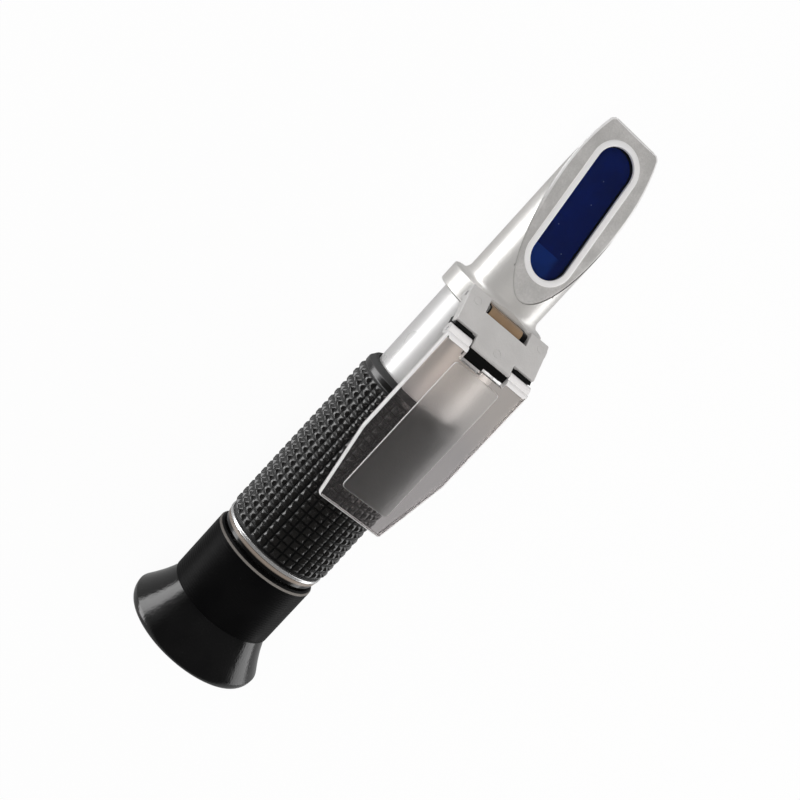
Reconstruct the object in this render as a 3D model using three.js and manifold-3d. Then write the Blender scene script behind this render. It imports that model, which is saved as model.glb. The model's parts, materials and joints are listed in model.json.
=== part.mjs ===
// Handheld brix refractometer with a double-hinged daylight plate, plate open.
// Sizes are in millimetres and angles in degrees. The optical axis is X, with +X
// towards the prism, and the prism's measuring face looks to +Z. A station is a
// distance back from the prism tip, along the axis. The origin lies on the axis at
// the middle of the grip.

import * as THREE from 'three';
import { mergeVertices } from 'three/addons/utils/BufferGeometryUtils.js';
import Module from 'manifold-3d';

const wasm = await Module();
wasm.setup();

// Clearances shared by all pieces
const seatGap = 0.3; // between a piece and the seat that it drops into
const seamGap = 0.1; // between flat faces that are bonded or screwed together
const runningGap = 0.1; // around a pin or screw in its hole
const overrun = 1; // how far a cutter runs past the face that it opens

// Faces around a revolved piece
const roundFaces = 40;
const innerFaces = 18;
const sealFaces = 24;
const sealCordFaces = 6;
const pinFaces = 12;

// Prism head: nose, slanted face and collar, one casting
const headRadius = 10.3;
const noseRadius = 9.1;
const noseTaper = 17;
const noseSteps = 4;
const noseBevel = 0.5;
const faceSlope = 19.2;
const faceTipHeight = -5.2;
const collarSetback = 3.79; // behind the rear end of the slanted face
const collarLength = 5;
const collarRadius = 13.4;
const collarFillet = 2.2;
const collarBevel = 0.3;
const collarLipRise = 0.4;
const filletSteps = 4;
const spigotLength = 7;
const spigotWall = 1;

// Prism, its bezel and its seal, placed along the slanted face from the tip
const windowFront = 9.4;
const windowRun = 25.6;
const windowHalfWidth = 4.3;
const windowSteps = 8;
const bezelThickness = 0.8;
const bezelSteps = 14;
const beadWidth = 1.3;
const beadRise = 0.35;
const glassSetback = 0.3;
const glassLedge = 1;
const sealThickness = 0.5;
const prismFloor = -6.6;
const pocketCeiling = 6.5;
const lightPathLength = 4.8; // in front of the collar
const baffleThickness = 0.8;
const baffleSlotWidth = 8;
const baffleSlotHeight = 6;

// Body tube
const tubeRadius = 11.48;
const tubeBore = 9.8;
const sealCordRadius = 0.36;
const sealSquash = 0.1;
const tubeSealSetback = 2.5; // behind the collar
const setScrewSetback = 5.1;
const setScrewRadius = 1;
const setScrewBite = 0.7;
const screwSink = 0.25;
const slotWidth = 0.5;
const slotDepth = 0.5;

// Objective, carried on a bimetal strip that shifts it as the temperature changes
const objectiveRadius = 5.1;
const objectiveEdge = 1.2;
const objectiveSag = 0.7;
const lensSteps = 3;
const cellSetback = 0.5; // behind the strip's front end
const cellLength = 5;
const cellWall = 1.1;
const cellLip = 0.9;
const cellLipReach = 0.6;
const cellFootWidth = 3.6;
const stripSetback = 1.2; // behind the spigot
const stripLength = 27;
const stripWidth = 4;
const stripThickness = 0.6;
const stripDrop = 7.4;
const carrierLength = 4.5;
const carrierWall = 3;
const stripScrewRadius = 0.8;
const stripScrewHeadRadius = 1.4;
const stripScrewHead = 0.7;
const stripScrewBite = 1;
const calibrationSetback = 3.5; // behind the strip's front end
const calibrationRadius = 1.6;

// Reticle with the scale, in its holder
const holderLead = 12.5; // in front of the grip's rear end
const holderLength = 6;
const holderWall = 1.6;
const holderLip = 1.2;
const holderLipReach = 0.9;
const reticleThickness = 1.5;
const clipThickness = 1.2;
const clipReach = 0.8;

// Grip sleeve, with pyramids in straight rows, and the rings behind it
const gripStation = 76.9;
const gripLength = 50.6;
const gripFrontRadius = 13.45;
const gripRearRadius = 13.95;
const gripLipRadius = 12.7;
const gripLipBevel = 1.4;
const gripLipBand = 1.8;
const knurlRise = 0.5;
const knurlRows = 21;
const knurlColumns = 40;
const knurlRearBand = 0.6;
const trimLength = 0.9;
const trimRadius = 14.13;
const endRingLength = 2.1;
const endRingFrontRadius = 14;
const endRingRearRadius = 13.5;

// Focus ring on the threaded neck of the body tube
const neckRadius = 11;
const focusGap = 0.5;
const focusLength = 17.6;
const focusRadius = 14.4;
const focusNoseRadius = 13.7;
const focusNoseBevel = 0.8;
const focusWeb = 2.5;
const focusSealSetback = 3; // behind the front of the neck
const focusSpigotLength = 3;
const focusSpigotRadius = 12.4;
const barrelClipThickness = 0.9;
const barrelClipSeat = 0.4;
const barrelFlange = 1.6;
const barrelFlangeReach = 1.5;

// Eyepiece barrel and lenses
const barrelReach = 16.6;
const barrelWall = 1.5;
const barrelLip = 1.2;
const barrelLipReach = 1;
const keywayWidth = 1.9;
const guideSetback = 6; // behind the front of the neck
const guideRadius = 0.7;
const guideBite = 1;
const eyepieceTravel = 5;
const fieldEdge = 1.4;
const fieldSag = 1.1;
const eyeEdge = 1.6;
const eyeSag = 1.3;
const eyeLead = 3.4; // in front of the barrel's flange
const spacerWall = 0.9;
const retainerReach = 1.6;

// Eyecup
const cupNeckRadius = 13.9;
const cupRimRadius = 18.76;
const cupFlareLength = 9.6;
const cupLipLength = 2.6;
const cupLipInset = 1.36;
const cupWall = 1.9;
const cupFloor = 1.2;
const cupEyeRadius = 8;
const cupSteps = 4;
const cupBow = 0.35;

// Cover hinge: a sloping arm on the collar carries the daylight plate. Distances
// on the arm run up its slope from its front edge, and depths go down into it.
const armEdgeLead = 0.6; // in front of the collar
const armEdgeDrop = 0.4; // below the collar's rim
const armSlope = 43;
const armThickness = 2.3;
const armHalfWidth = 11.8;
const armSideLength = 10.1;
const armTongueLength = 13.35;
const armTongueHalfWidth = 5.65;
const armTongueThickness = 0.8;
const armNotchLength = 4.1;
const armNotchHalfWidth = 6.3;
const armBevel = 0.3;
const armPinUp = 2.3;
const armPinDepth = 1.5;
const platePinUp = 12.5;
const platePinDepth = 1.95;
const hingePinRadius = 0.52;
const armKnuckleRadius = 1.7;
const lugHalfWidth = 5.7;
const lugRadius = 1.1;
const springThickness = 0.25;
const springHalfWidth = 5.3;
const springSteps = 8;
const insertUp = 8.3;
const insertDepth = 3.9;
const insertWingDepth = 0.6;
const insertWingUp = 10.3;
const lobeReach = 2.5;
const lobeStep = 0.9;
const lobeRise = 1.55;
const lobeDrop = 1.15;

// Daylight plate, clear, with a raised pad that spreads the sample
const plateLift = 0.59; // of its underside over its hinge pin
const plateThickness = 2.3;
const plateHalfWidth = 12.1;
const plateEndHalfWidth = 9.05;
const plateTaperRun = 28.1; // behind its hinge pin
const plateLength = 46.8;
const plateCorner = 0.8;
const plateKnuckleRadius = 1.5;
const plateBrow = 1.1;
const padFrontRun = 3.8;
const padRearRun = 41.8;
const padHalfWidth = 6.6;
const padRise = 0.4;
const padCorner = 1;

const originStation = gripStation + gripLength / 2;
const weldTolerance = 1e-4;

// Heights and stations that follow from the sizes above
const slope = THREE.MathUtils.degToRad(faceSlope);
const armTilt = THREE.MathUtils.degToRad(armSlope);
const faceRearStation = (headRadius - faceTipHeight) / Math.tan(slope);
const collarStation = faceRearStation + collarSetback;
const collarRearStation = collarStation + collarLength;
const spigotRearStation = collarRearStation + spigotLength;
const lightPathStation = collarStation - lightPathLength;
const tubeStation = collarRearStation + seatGap;
const tubeSealStation = collarRearStation + tubeSealSetback;
const setScrewStation = collarRearStation + setScrewSetback;
const spigotRadius = tubeBore - seatGap;
const lightPathRadius = spigotRadius - spigotWall;
const prismHalfWidth = windowHalfWidth + glassLedge;
const shoulderDepth = bezelThickness + sealThickness + 2 * seamGap;
const windowRear = windowFront + windowRun;
const prismFrontStation = (windowFront - prismHalfWidth) * Math.cos(slope);
const prismRearStation = (windowRear + prismHalfWidth) * Math.cos(slope) + shoulderDepth * Math.sin(slope);
const stripStation = spigotRearStation + stripSetback;
const cellStation = stripStation + cellSetback;
const calibrationStation = stripStation + calibrationSetback;
const carrierStation = stripStation + stripLength - carrierLength;
const gripRearStation = gripStation + gripLength;
const holderStation = gripRearStation - holderLead;
const trimStation = gripRearStation + seatGap;
const endRingStation = trimStation + trimLength + seamGap;
const neckStation = endRingStation + endRingLength + seamGap;
const focusSealStation = neckStation + focusSealSetback;
const guideStation = neckStation + guideSetback;
const focusStation = endRingStation + endRingLength + focusGap;
const focusRearStation = focusStation + focusLength;
const focusBore = neckRadius + seatGap + runningGap;
const flangeStation = focusRearStation - focusWeb - seatGap - barrelFlange;
const eyeStation = flangeStation - eyeLead;
const clipStation = flangeStation - seatGap - barrelClipThickness;
const neckRearStation = clipStation - seatGap;
const barrelStation = flangeStation - barrelReach;
const barrelRadius = tubeBore - seatGap;
const barrelBore = barrelRadius - barrelWall;
const lensRadius = barrelBore - seatGap;
const cupStation = focusRearStation + seamGap;
const armEdgeStation = collarStation - armEdgeLead;
const armEdgeHeight = collarRadius - armEdgeDrop;
const armPin = armPoint(armPinUp, armPinDepth);
const platePin = armPoint(platePinUp, platePinDepth);
const armSwing = Math.hypot(armPinUp, armPinDepth);
const collarFlat = armPin.z - armSwing - seatGap;
const pinHoleRadius = hingePinRadius + runningGap;
const springOuterRadius = lugRadius + runningGap + springThickness;

/** The place of a station on the X axis. */
function along(station) {
  return originStation - station;
}

/** A point of the hinge arm, seen from the side, in the instrument's own frame. */
function armPoint(up, depth) {
  const x = along(armEdgeStation) - up * Math.cos(armTilt) - depth * Math.sin(armTilt);
  const z = armEdgeHeight + up * Math.sin(armTilt) - depth * Math.cos(armTilt);
  return { x, z };
}

/** Height of the slanted face over the axis at a station. */
function faceHeight(station) {
  return faceTipHeight + station * Math.tan(slope);
}

/** Radius of the nose at a station, eased in towards the tip. */
function noseRadiusAt(station) {
  const share = Math.max(0, 1 - station / noseTaper);
  return headRadius - (headRadius - noseRadius) * share * share;
}

/** Joins equal corners of a geometry and drops the faces that have no area. */
function welded(geometry) {
  const bare = geometry.clone();
  bare.deleteAttribute('normal');
  bare.deleteAttribute('uv');
  const merged = mergeVertices(bare, weldTolerance);
  const corners = merged.index.array;
  const kept = [];
  for (let i = 0; i < corners.length; i += 3) {
    const [a, b, c] = corners.slice(i, i + 3);
    if (a !== b && b !== c && c !== a) kept.push(a, b, c);
  }
  merged.setIndex(kept);
  return merged;
}

/** A closed geometry as a solid that can be joined and cut. */
function solidOf(geometry) {
  const closed = welded(geometry);
  const vertProperties = new Float32Array(closed.attributes.position.array);
  const triVerts = new Uint32Array(closed.index.array);
  return new wasm.Manifold(new wasm.Mesh({ numProp: 3, vertProperties, triVerts }));
}

/** The geometry of a joined or cut solid. */
function geometryOf(solid) {
  const { vertProperties, triVerts } = solid.getMesh();
  const geometry = new THREE.BufferGeometry();
  geometry.setAttribute('position', new THREE.BufferAttribute(new Float32Array(vertProperties), 3));
  geometry.setIndex(new THREE.BufferAttribute(new Uint32Array(triVerts), 1));
  return geometry;
}

/** One geometry out of several that touch or overlap. */
function joined(...geometries) {
  return geometryOf(geometries.map(solidOf).reduce((all, next) => all.add(next)));
}

/** A geometry with the given cutters taken out of it. */
function cut(geometry, ...cutters) {
  return geometryOf(cutters.map(solidOf).reduce((rest, next) => rest.subtract(next), solidOf(geometry)));
}

/** What two geometries have in common. */
function common(first, second) {
  return geometryOf(solidOf(first).intersect(solidOf(second)));
}

/** A piece turned on the optical axis, from a closed profile of [distance back, radius]. */
function revolved(profile, faces = innerFaces) {
  const points = profile.map(([back, radius]) => new THREE.Vector2(radius, -back));
  if (THREE.ShapeUtils.area(points) < 0) points.reverse();
  const opens = points[0].x > 0 || points.at(-1).x > 0;
  if (opens) points.push(points[0].clone());
  return welded(new THREE.LatheGeometry(points, faces)).rotateZ(-Math.PI / 2);
}

/** A plain ring with its front at distance 0. */
function ring(length, outer, inner, faces = innerFaces) {
  return revolved([[0, inner], [0, outer], [length, outer], [length, inner]], faces);
}

/** How far a lens face bulges past its rim at a radius of the seat that it lies on. */
function bulge(sag, radius, seatRadius) {
  return sag * (1 - (seatRadius / radius) ** 2);
}

/** A disc with bulging faces, its front rim at distance 0. */
function lens(radius, edge, frontSag, rearSag) {
  const profile = [];
  for (let i = 0; i <= lensSteps; i++) {
    const share = i / lensSteps;
    profile.push([-frontSag * (1 - share * share), radius * share]);
  }
  for (let i = lensSteps; i >= 0; i--) {
    const share = i / lensSteps;
    profile.push([edge + rearSag * (1 - share * share), radius * share]);
  }
  return revolved(profile);
}

/** A box between two corners. */
function block([x0, y0, z0], [x1, y1, z1]) {
  const box = new THREE.BoxGeometry(x1 - x0, y1 - y0, z1 - z0);
  return box.translate((x0 + x1) / 2, (y0 + y1) / 2, (z0 + z1) / 2);
}

/** A side outline of [x, z] points, given its width across. */
function across(outline, halfWidth, middle = 0) {
  const shape = new THREE.Shape(outline.map(([x, z]) => new THREE.Vector2(x, z)));
  const geometry = new THREE.ExtrudeGeometry(shape, { depth: 2 * halfWidth, bevelEnabled: false });
  return geometry.rotateX(Math.PI / 2).translate(0, middle + halfWidth, 0);
}

/** A plan outline of [x, y] points, given its height from bottom to top. */
function upright(outline, bottom, top) {
  const shape = new THREE.Shape(outline.map(([x, y]) => new THREE.Vector2(x, y)));
  const geometry = new THREE.ExtrudeGeometry(shape, { depth: top - bottom, bevelEnabled: false });
  return geometry.translate(0, 0, bottom);
}

/** A round bar that lies across, such as a hinge pin. */
function crossBar(radius, halfWidth, { x, z }, middle = 0, faces = pinFaces) {
  return new THREE.CylinderGeometry(radius, radius, 2 * halfWidth, faces).translate(x, middle, z);
}

/** A round bar that stands upright between two heights. */
function postBar(radius, bottom, top, x, faces = pinFaces) {
  const bar = new THREE.CylinderGeometry(radius, radius, top - bottom, faces).rotateX(Math.PI / 2);
  return bar.translate(x, 0, (bottom + top) / 2);
}

/** A headless slotted screw that points up, with its slot in its lower end. */
function slottedScrew(radius, bottom, top) {
  const slot = block(
    [-slotWidth / 2, -radius - overrun, bottom - overrun],
    [slotWidth / 2, radius + overrun, bottom + slotDepth],
  );
  return cut(postBar(radius, bottom, top, 0), slot);
}

/** An O-ring around the optical axis. */
function sealRing(radius) {
  return new THREE.TorusGeometry(radius, sealCordRadius, sealCordFaces, sealFaces).rotateY(Math.PI / 2);
}

/** Outline of the window grown by an amount, with X towards the tip and 0 at the tip edge. */
function windowOutline(growth) {
  const radius = windowHalfWidth + growth;
  const outline = [];
  for (const [centre, start] of [[-windowFront, -Math.PI / 2], [-windowRear, Math.PI / 2]]) {
    for (let i = 0; i <= windowSteps; i++) {
      const angle = start + (Math.PI * i) / windowSteps;
      outline.push([centre + radius * Math.cos(angle), radius * Math.sin(angle)]);
    }
  }
  return outline;
}

/** A band that follows the window, from a section of [growth, height] points. */
function windowBand(section) {
  const loops = section.map(([growth, height]) => windowOutline(growth).map(([x, y]) => [x, y, height]));
  const count = loops[0].length;
  const corners = [];
  loops.forEach((loop, i) => {
    const next = loops[(i + 1) % loops.length];
    for (let j = 0; j < count; j++) {
      const k = (j + 1) % count;
      corners.push(...loop[j], ...next[k], ...next[j], ...loop[j], ...loop[k], ...next[k]);
    }
  });
  const geometry = new THREE.BufferGeometry();
  geometry.setAttribute('position', new THREE.Float32BufferAttribute(corners, 3));
  return welded(geometry);
}

/** A finished sub-part: a named mesh with its own material. */
function piece(name, geometry, finish) {
  const mesh = new THREE.Mesh(geometry, new THREE.MeshStandardMaterial(finish));
  mesh.name = name;
  geometry.computeVertexNormals();
  return mesh;
}

/** Pieces kept together, with their common place. */
function assembly(pieces, x = 0, z = 0, turn = 0) {
  const group = new THREE.Group();
  group.position.set(x, 0, z);
  group.rotation.y = turn;
  group.add(...pieces);
  return group;
}

/** A piece moved so that its distance 0 is at a station. */
function at(station, mesh) {
  mesh.position.x = along(station);
  return mesh;
}

const finishes = {
  casting: { color: 0xd9d9d6, roughness: 0.35, metalness: 0.8 },
  face: { color: 0xb4b5b2, roughness: 0.6, metalness: 0.6 },
  tube: { color: 0xe0e0de, roughness: 0.25, metalness: 0.9 },
  trim: { color: 0xe8e8e8, roughness: 0.2, metalness: 0.9 },
  innerMetal: { color: 0x2b2b2d, roughness: 0.7, metalness: 0.6 },
  screw: { color: 0xb8b8b8, roughness: 0.3, metalness: 1 },
  bronze: { color: 0x8a6b45, roughness: 0.35, metalness: 0.9 },
  gripRubber: { color: 0x141414, roughness: 0.6, metalness: 0 },
  glossBlack: { color: 0x0c0c0c, roughness: 0.2, metalness: 0 },
  sealRubber: { color: 0x1a1a1a, roughness: 0.8, metalness: 0 },
  armPlastic: { color: 0xc4c4c2, roughness: 0.5, metalness: 0 },
  prismGlass: { color: 0x0a1450, roughness: 0.05, metalness: 0 },
  lensGlass: { color: 0xcfe0ea, roughness: 0.02, metalness: 0, transparent: true, opacity: 0.35 },
  clearPlastic: { color: 0xd8d4cc, roughness: 0.1, metalness: 0, transparent: true, opacity: 0.4 },
};

/** Outer profile of the head, from the axis at the tip to the end of the collar. */
function headProfile() {
  const profile = [[0, 0], [0, noseRadius - noseBevel]];
  for (let i = 0; i <= noseSteps; i++) {
    const station = noseBevel + ((noseTaper - noseBevel) * i) / noseSteps;
    profile.push([station, noseRadiusAt(station)]);
  }
  for (let i = 0; i <= filletSteps; i++) {
    const angle = (Math.PI / 2) * (i / filletSteps);
    const station = collarStation - collarFillet + collarFillet * Math.sin(angle);
    profile.push([station, headRadius + collarFillet - collarFillet * Math.cos(angle)]);
  }
  profile.push([collarStation, collarRadius - collarBevel], [collarStation + collarBevel, collarRadius]);
  profile.push([collarRearStation - collarBevel, collarRadius]);
  profile.push([collarRearStation, collarRadius - collarBevel]);
  return profile;
}

/** Half of the slanted face's edge, as [distance along the face, half width]. */
function faceEdge(growth) {
  const apex = faceRearStation / Math.cos(slope);
  const edge = [];
  for (let i = 0; i < bezelSteps; i++) {
    const run = apex * Math.sin((Math.PI / 2) * (i / bezelSteps));
    const station = run * Math.cos(slope);
    const height = faceTipHeight + run * Math.sin(slope);
    const halfWidth = Math.sqrt(noseRadiusAt(station) ** 2 - height ** 2);
    edge.push([run, halfWidth + growth]);
  }
  edge.push([apex + growth, 0]);
  return edge;
}

/** Plan of the slanted face, with X towards the tip and 0 at the tip edge. */
function facePlan(growth, tipRun = 0) {
  const right = faceEdge(growth).map(([run, halfWidth]) => [-run, -halfWidth]);
  right[0][0] = tipRun;
  const left = right.slice(0, -1).reverse().map(([x, y]) => [x, -y]);
  return [...right, ...left];
}

/** Turns a geometry made on the level into the slanted face's frame. */
function ontoFace(geometry) {
  return geometry.rotateY(slope).translate(along(0), 0, faceTipHeight);
}

/** Side outline of the prism, or with clearance, of its pocket. */
function prismSide(clearance, topDepth) {
  const front = prismFrontStation - clearance;
  const rear = prismRearStation + clearance;
  const drop = topDepth / Math.cos(slope);
  const floor = prismFloor - clearance;
  return [
    [along(rear), floor],
    [along(front), floor],
    [along(front), faceHeight(front) - drop],
    [along(rear), faceHeight(rear) - drop],
  ];
}

/** The hinge's lug on the collar, with the ramp that stops the open arm. */
function hingeLug() {
  const root = collarFlat - collarBevel;
  const lug = [[armPin.x - lugRadius, root], [armPin.x + lugRadius, root]];
  for (let i = 0; i <= springSteps; i++) {
    const angle = (Math.PI * i) / springSteps;
    lug.push([armPin.x + lugRadius * Math.cos(angle), armPin.z + lugRadius * Math.sin(angle)]);
  }
  const rampRear = along(collarRearStation - collarBevel);
  const rampFront = armPin.x - springOuterRadius - seatGap;
  const rampDepth = (armThickness + seatGap) / Math.cos(armTilt);
  const rampHeight = (x) => armEdgeHeight + (along(armEdgeStation) - x) * Math.tan(armTilt) - rampDepth;
  const ramp = [
    [rampRear, root],
    [rampFront, root],
    [rampFront, rampHeight(rampFront)],
    [rampRear, rampHeight(rampRear)],
  ];
  const hole = crossBar(pinHoleRadius, lugHalfWidth + overrun, armPin);
  return cut(joined(across(lug, lugHalfWidth), across(ramp, lugHalfWidth)), hole);
}

/** The casting that holds the prism and carries the cover's hinge. */
function prismHousing() {
  const grooveFloor = tubeBore - seatGap - 2 * sealCordRadius + sealSquash;
  const grooveHalf = sealCordRadius + runningGap;
  const casting = revolved([
    ...headProfile(),
    [collarRearStation, spigotRadius],
    [tubeSealStation - grooveHalf, spigotRadius],
    [tubeSealStation - grooveHalf, grooveFloor],
    [tubeSealStation + grooveHalf, grooveFloor],
    [tubeSealStation + grooveHalf, spigotRadius],
    [spigotRearStation, spigotRadius],
    [spigotRearStation, lightPathRadius],
    [lightPathStation, lightPathRadius],
    [lightPathStation, 0],
  ], roundFaces).translate(along(0), 0, 0);

  const reach = 2 * collarRadius;
  const aboveFace = across([
    [along(0) + reach, faceHeight(-reach)],
    [along(collarStation - collarFillet), faceHeight(collarStation - collarFillet)],
    [along(collarStation - collarFillet), reach + collarRadius],
    [along(0) + reach, reach + collarRadius],
  ], reach);
  const bezelSeat = ontoFace(upright(facePlan(seamGap, overrun), -bezelThickness - seamGap, overrun));
  const pocketTopDepth = bezelThickness - overrun;
  const pocket = across(prismSide(seatGap, pocketTopDepth), prismHalfWidth + seatGap);
  const lightSlot = block(
    [along(lightPathStation + overrun), -prismHalfWidth - seatGap, prismFloor - seatGap],
    [along(prismRearStation), prismHalfWidth + seatGap, pocketCeiling],
  );
  const width = collarRadius + overrun;
  const armRoom = block(
    [along(collarRearStation + overrun / 2), -width, collarFlat],
    [armPin.x + springOuterRadius + seatGap, width, reach],
  );
  const spigotKept = block(
    [along(spigotRearStation), -spigotRadius, 0],
    [along(collarRearStation), spigotRadius, spigotRadius],
  );
  const lipRoom = block(
    [armPin.x, -width, collarFlat + collarLipRise],
    [along(collarStation - collarFillet), width, reach],
  );
  const armTrim = cut(armRoom, spigotKept);
  const screwHole = postBar(
    setScrewRadius + runningGap,
    -spigotRadius - overrun,
    -spigotRadius + setScrewBite,
    along(setScrewStation),
  );
  const trimmed = cut(casting, aboveFace, bezelSeat, pocket, lightSlot, armTrim, lipRoom, screwHole);
  return piece('prism_housing', joined(trimmed, hingeLug()), finishes.casting);
}

/** The slanted plate around the prism's window, with its raised bead. */
function prismBezel() {
  const plate = ontoFace(upright(facePlan(0), -bezelThickness, 0));
  const nose = revolved([...headProfile(), [collarRearStation, 0]], roundFaces);
  const slab = common(plate, nose.translate(along(0), 0, 0));
  const bead = windowBand([
    [0, -bezelThickness / 2],
    [beadWidth, -bezelThickness / 2],
    [beadWidth, 0],
    [(3 * beadWidth) / 4, beadRise],
    [beadWidth / 4, beadRise],
    [0, beadRise / 2],
  ]);
  const window = ontoFace(upright(windowOutline(0), -bezelThickness - overrun, overrun));
  return piece('prism_bezel', joined(cut(slab, window), ontoFace(bead)), finishes.face);
}

/** The glass wedge: its boss fills the window and its rear face looks down the tube. */
function prism() {
  const wedge = across(prismSide(0, shoulderDepth), prismHalfWidth);
  const boss = upright(windowOutline(-seamGap), -shoulderDepth - glassLedge / 2, -glassSetback);
  return piece('prism', joined(wedge, ontoFace(boss)), finishes.prismGlass);
}

/** The gasket between the bezel and the prism's shoulder. */
function prismSeal() {
  const top = -bezelThickness - seamGap;
  const outer = glassLedge - seamGap;
  const band = windowBand([
    [seamGap, top - sealThickness],
    [outer, top - sealThickness],
    [outer, top],
    [seamGap, top],
  ]);
  return piece('prism_seal', ontoFace(band), finishes.sealRubber);
}

/** The disc with a slot that keeps stray light out of the tube. */
function lightBaffle() {
  const disc = revolved([
    [0, 0],
    [0, lightPathRadius - seatGap],
    [baffleThickness, lightPathRadius - seatGap],
    [baffleThickness, 0],
  ]);
  const slot = block(
    [-baffleThickness - overrun, -baffleSlotWidth / 2, -baffleSlotHeight / 2],
    [overrun, baffleSlotWidth / 2, baffleSlotHeight / 2],
  );
  return at(collarStation, piece('light_baffle', cut(disc, slot), finishes.innerMetal));
}

/** The O-ring in the spigot's groove. */
function tubeSeal() {
  const radius = tubeBore - seatGap - sealCordRadius + sealSquash + runningGap;
  return at(tubeSealStation, piece('tube_seal', sealRing(radius), finishes.sealRubber));
}

/** The set screw that locks the head in the tube. */
function tubeSetScrew() {
  const bottom = -tubeRadius + screwSink;
  const top = -spigotRadius + setScrewBite - runningGap;
  const screw = slottedScrew(setScrewRadius, bottom, top);
  return at(setScrewStation, piece('tube_set_screw', screw, finishes.screw));
}

/** The tube that everything is mounted in, with the thread neck for the focus ring. */
function bodyTube() {
  const back = (station) => station - tubeStation;
  const groove = sealCordRadius + runningGap;
  const grooveFloor = neckRadius - sealCordRadius - runningGap;
  const tube = revolved([
    [0, tubeBore],
    [0, tubeRadius],
    [back(neckStation), tubeRadius],
    [back(neckStation), neckRadius],
    [back(focusSealStation) - groove, neckRadius],
    [back(focusSealStation) - groove, grooveFloor],
    [back(focusSealStation) + groove, grooveFloor],
    [back(focusSealStation) + groove, neckRadius],
    [back(neckRearStation), neckRadius],
    [back(neckRearStation), tubeBore],
  ], roundFaces);
  const holes = [
    [setScrewStation, setScrewRadius],
    [calibrationStation, calibrationRadius],
    [guideStation, guideRadius],
  ].map(([station, radius]) => postBar(
    radius + runningGap,
    -tubeRadius - overrun,
    -tubeBore + overrun,
    -back(station),
  ));
  return at(tubeStation, piece('body_tube', cut(tube, ...holes), finishes.tube));
}

/** The ring around the objective, with a foot that stands on the bimetal strip. */
function objectiveCell() {
  const outer = objectiveRadius + runningGap + cellWall;
  const bore = objectiveRadius + runningGap;
  const shell = revolved([
    [0, objectiveRadius - cellLipReach],
    [0, outer],
    [cellLength, outer],
    [cellLength, bore],
    [cellLip, bore],
    [cellLip, objectiveRadius - cellLipReach],
  ]);
  const foot = block(
    [-cellLength, -cellFootWidth / 2, -stripDrop + seatGap],
    [0, cellFootWidth / 2, -outer + cellWall / 2],
  );
  return at(cellStation, piece('objective_cell', joined(shell, foot), finishes.innerMetal));
}

/** The lens that throws the shadow line on the scale. */
function objectiveLens() {
  const glass = lens(objectiveRadius, objectiveEdge, objectiveSag, objectiveSag);
  const seat = bulge(objectiveSag, objectiveRadius, objectiveRadius - cellLipReach);
  const station = cellStation + cellLip + seat + seamGap;
  return at(station, piece('objective_lens', glass, finishes.lensGlass));
}

/** The two-metal strip that moves the objective with temperature. */
function bimetalStrip() {
  const top = -stripDrop;
  const strip = block([-stripLength, -stripWidth / 2, top - stripThickness], [0, stripWidth / 2, top]);
  const hole = postBar(
    stripScrewRadius + runningGap,
    top - stripThickness - overrun,
    top + overrun,
    stripStation - stripScrewStation(),
  );
  return at(stripStation, piece('bimetal_strip', cut(strip, hole), finishes.bronze));
}

/** Where the strip is screwed to its carrier. */
function stripScrewStation() {
  return carrierStation + carrierLength / 2;
}

/** The small screw that clamps the strip in its carrier. */
function stripScrew() {
  const seat = -stripDrop + seamGap;
  const tip = -stripDrop - stripThickness - seatGap - stripScrewBite;
  const shank = postBar(stripScrewRadius, tip, seat + stripScrewHead / 2, 0);
  const head = postBar(stripScrewHeadRadius, seat, seat + stripScrewHead, 0);
  return at(stripScrewStation(), piece('strip_screw', joined(shank, head), finishes.screw));
}

/** The ring in the tube that the bimetal strip is fixed to. */
function lensCarrier() {
  const outer = tubeBore - seatGap;
  const inner = outer - carrierWall;
  const body = ring(carrierLength, outer, inner);
  const strip = block(
    [-carrierLength - overrun, -stripWidth / 2 - seatGap, -stripDrop - stripThickness - seatGap],
    [overrun, stripWidth / 2 + seatGap, -inner + overrun],
  );
  const tapped = postBar(
    stripScrewRadius + runningGap,
    -outer - overrun,
    -stripDrop,
    -carrierLength / 2,
  );
  return at(carrierStation, piece('lens_carrier', cut(body, strip, tapped), finishes.innerMetal));
}

/** The slotted screw that sets the scale's zero by pressing the strip. */
function calibrationScrew() {
  const bottom = -tubeRadius + screwSink;
  const top = -stripDrop - stripThickness - seatGap;
  const screw = slottedScrew(calibrationRadius, bottom, top);
  return at(calibrationStation, piece('calibration_screw', screw, finishes.screw));
}

/** The ring that holds the scale's glass in the tube. */
function reticleHolder() {
  const outer = tubeBore - seatGap;
  const inner = outer - holderWall;
  const body = revolved([
    [0, inner - holderLipReach],
    [0, outer],
    [holderLength, outer],
    [holderLength, inner],
    [holderLip, inner],
    [holderLip, inner - holderLipReach],
  ]);
  return at(holderStation, piece('reticle_holder', body, finishes.innerMetal));
}

/** The glass disc that carries the scale. */
function reticle() {
  const radius = tubeBore - holderWall - 2 * seatGap;
  const disc = revolved([[0, 0], [0, radius], [reticleThickness, radius], [reticleThickness, 0]]);
  return at(holderStation + holderLip + seamGap, piece('reticle', disc, finishes.lensGlass));
}

/** The ring that clamps the scale in its holder. */
function reticleClip() {
  const outer = tubeBore - holderWall - 2 * seatGap;
  const body = ring(clipThickness, outer, outer - clipReach);
  const station = holderStation + holderLip + reticleThickness + 2 * seamGap;
  return at(station, piece('reticle_clip', body, finishes.innerMetal));
}

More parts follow.
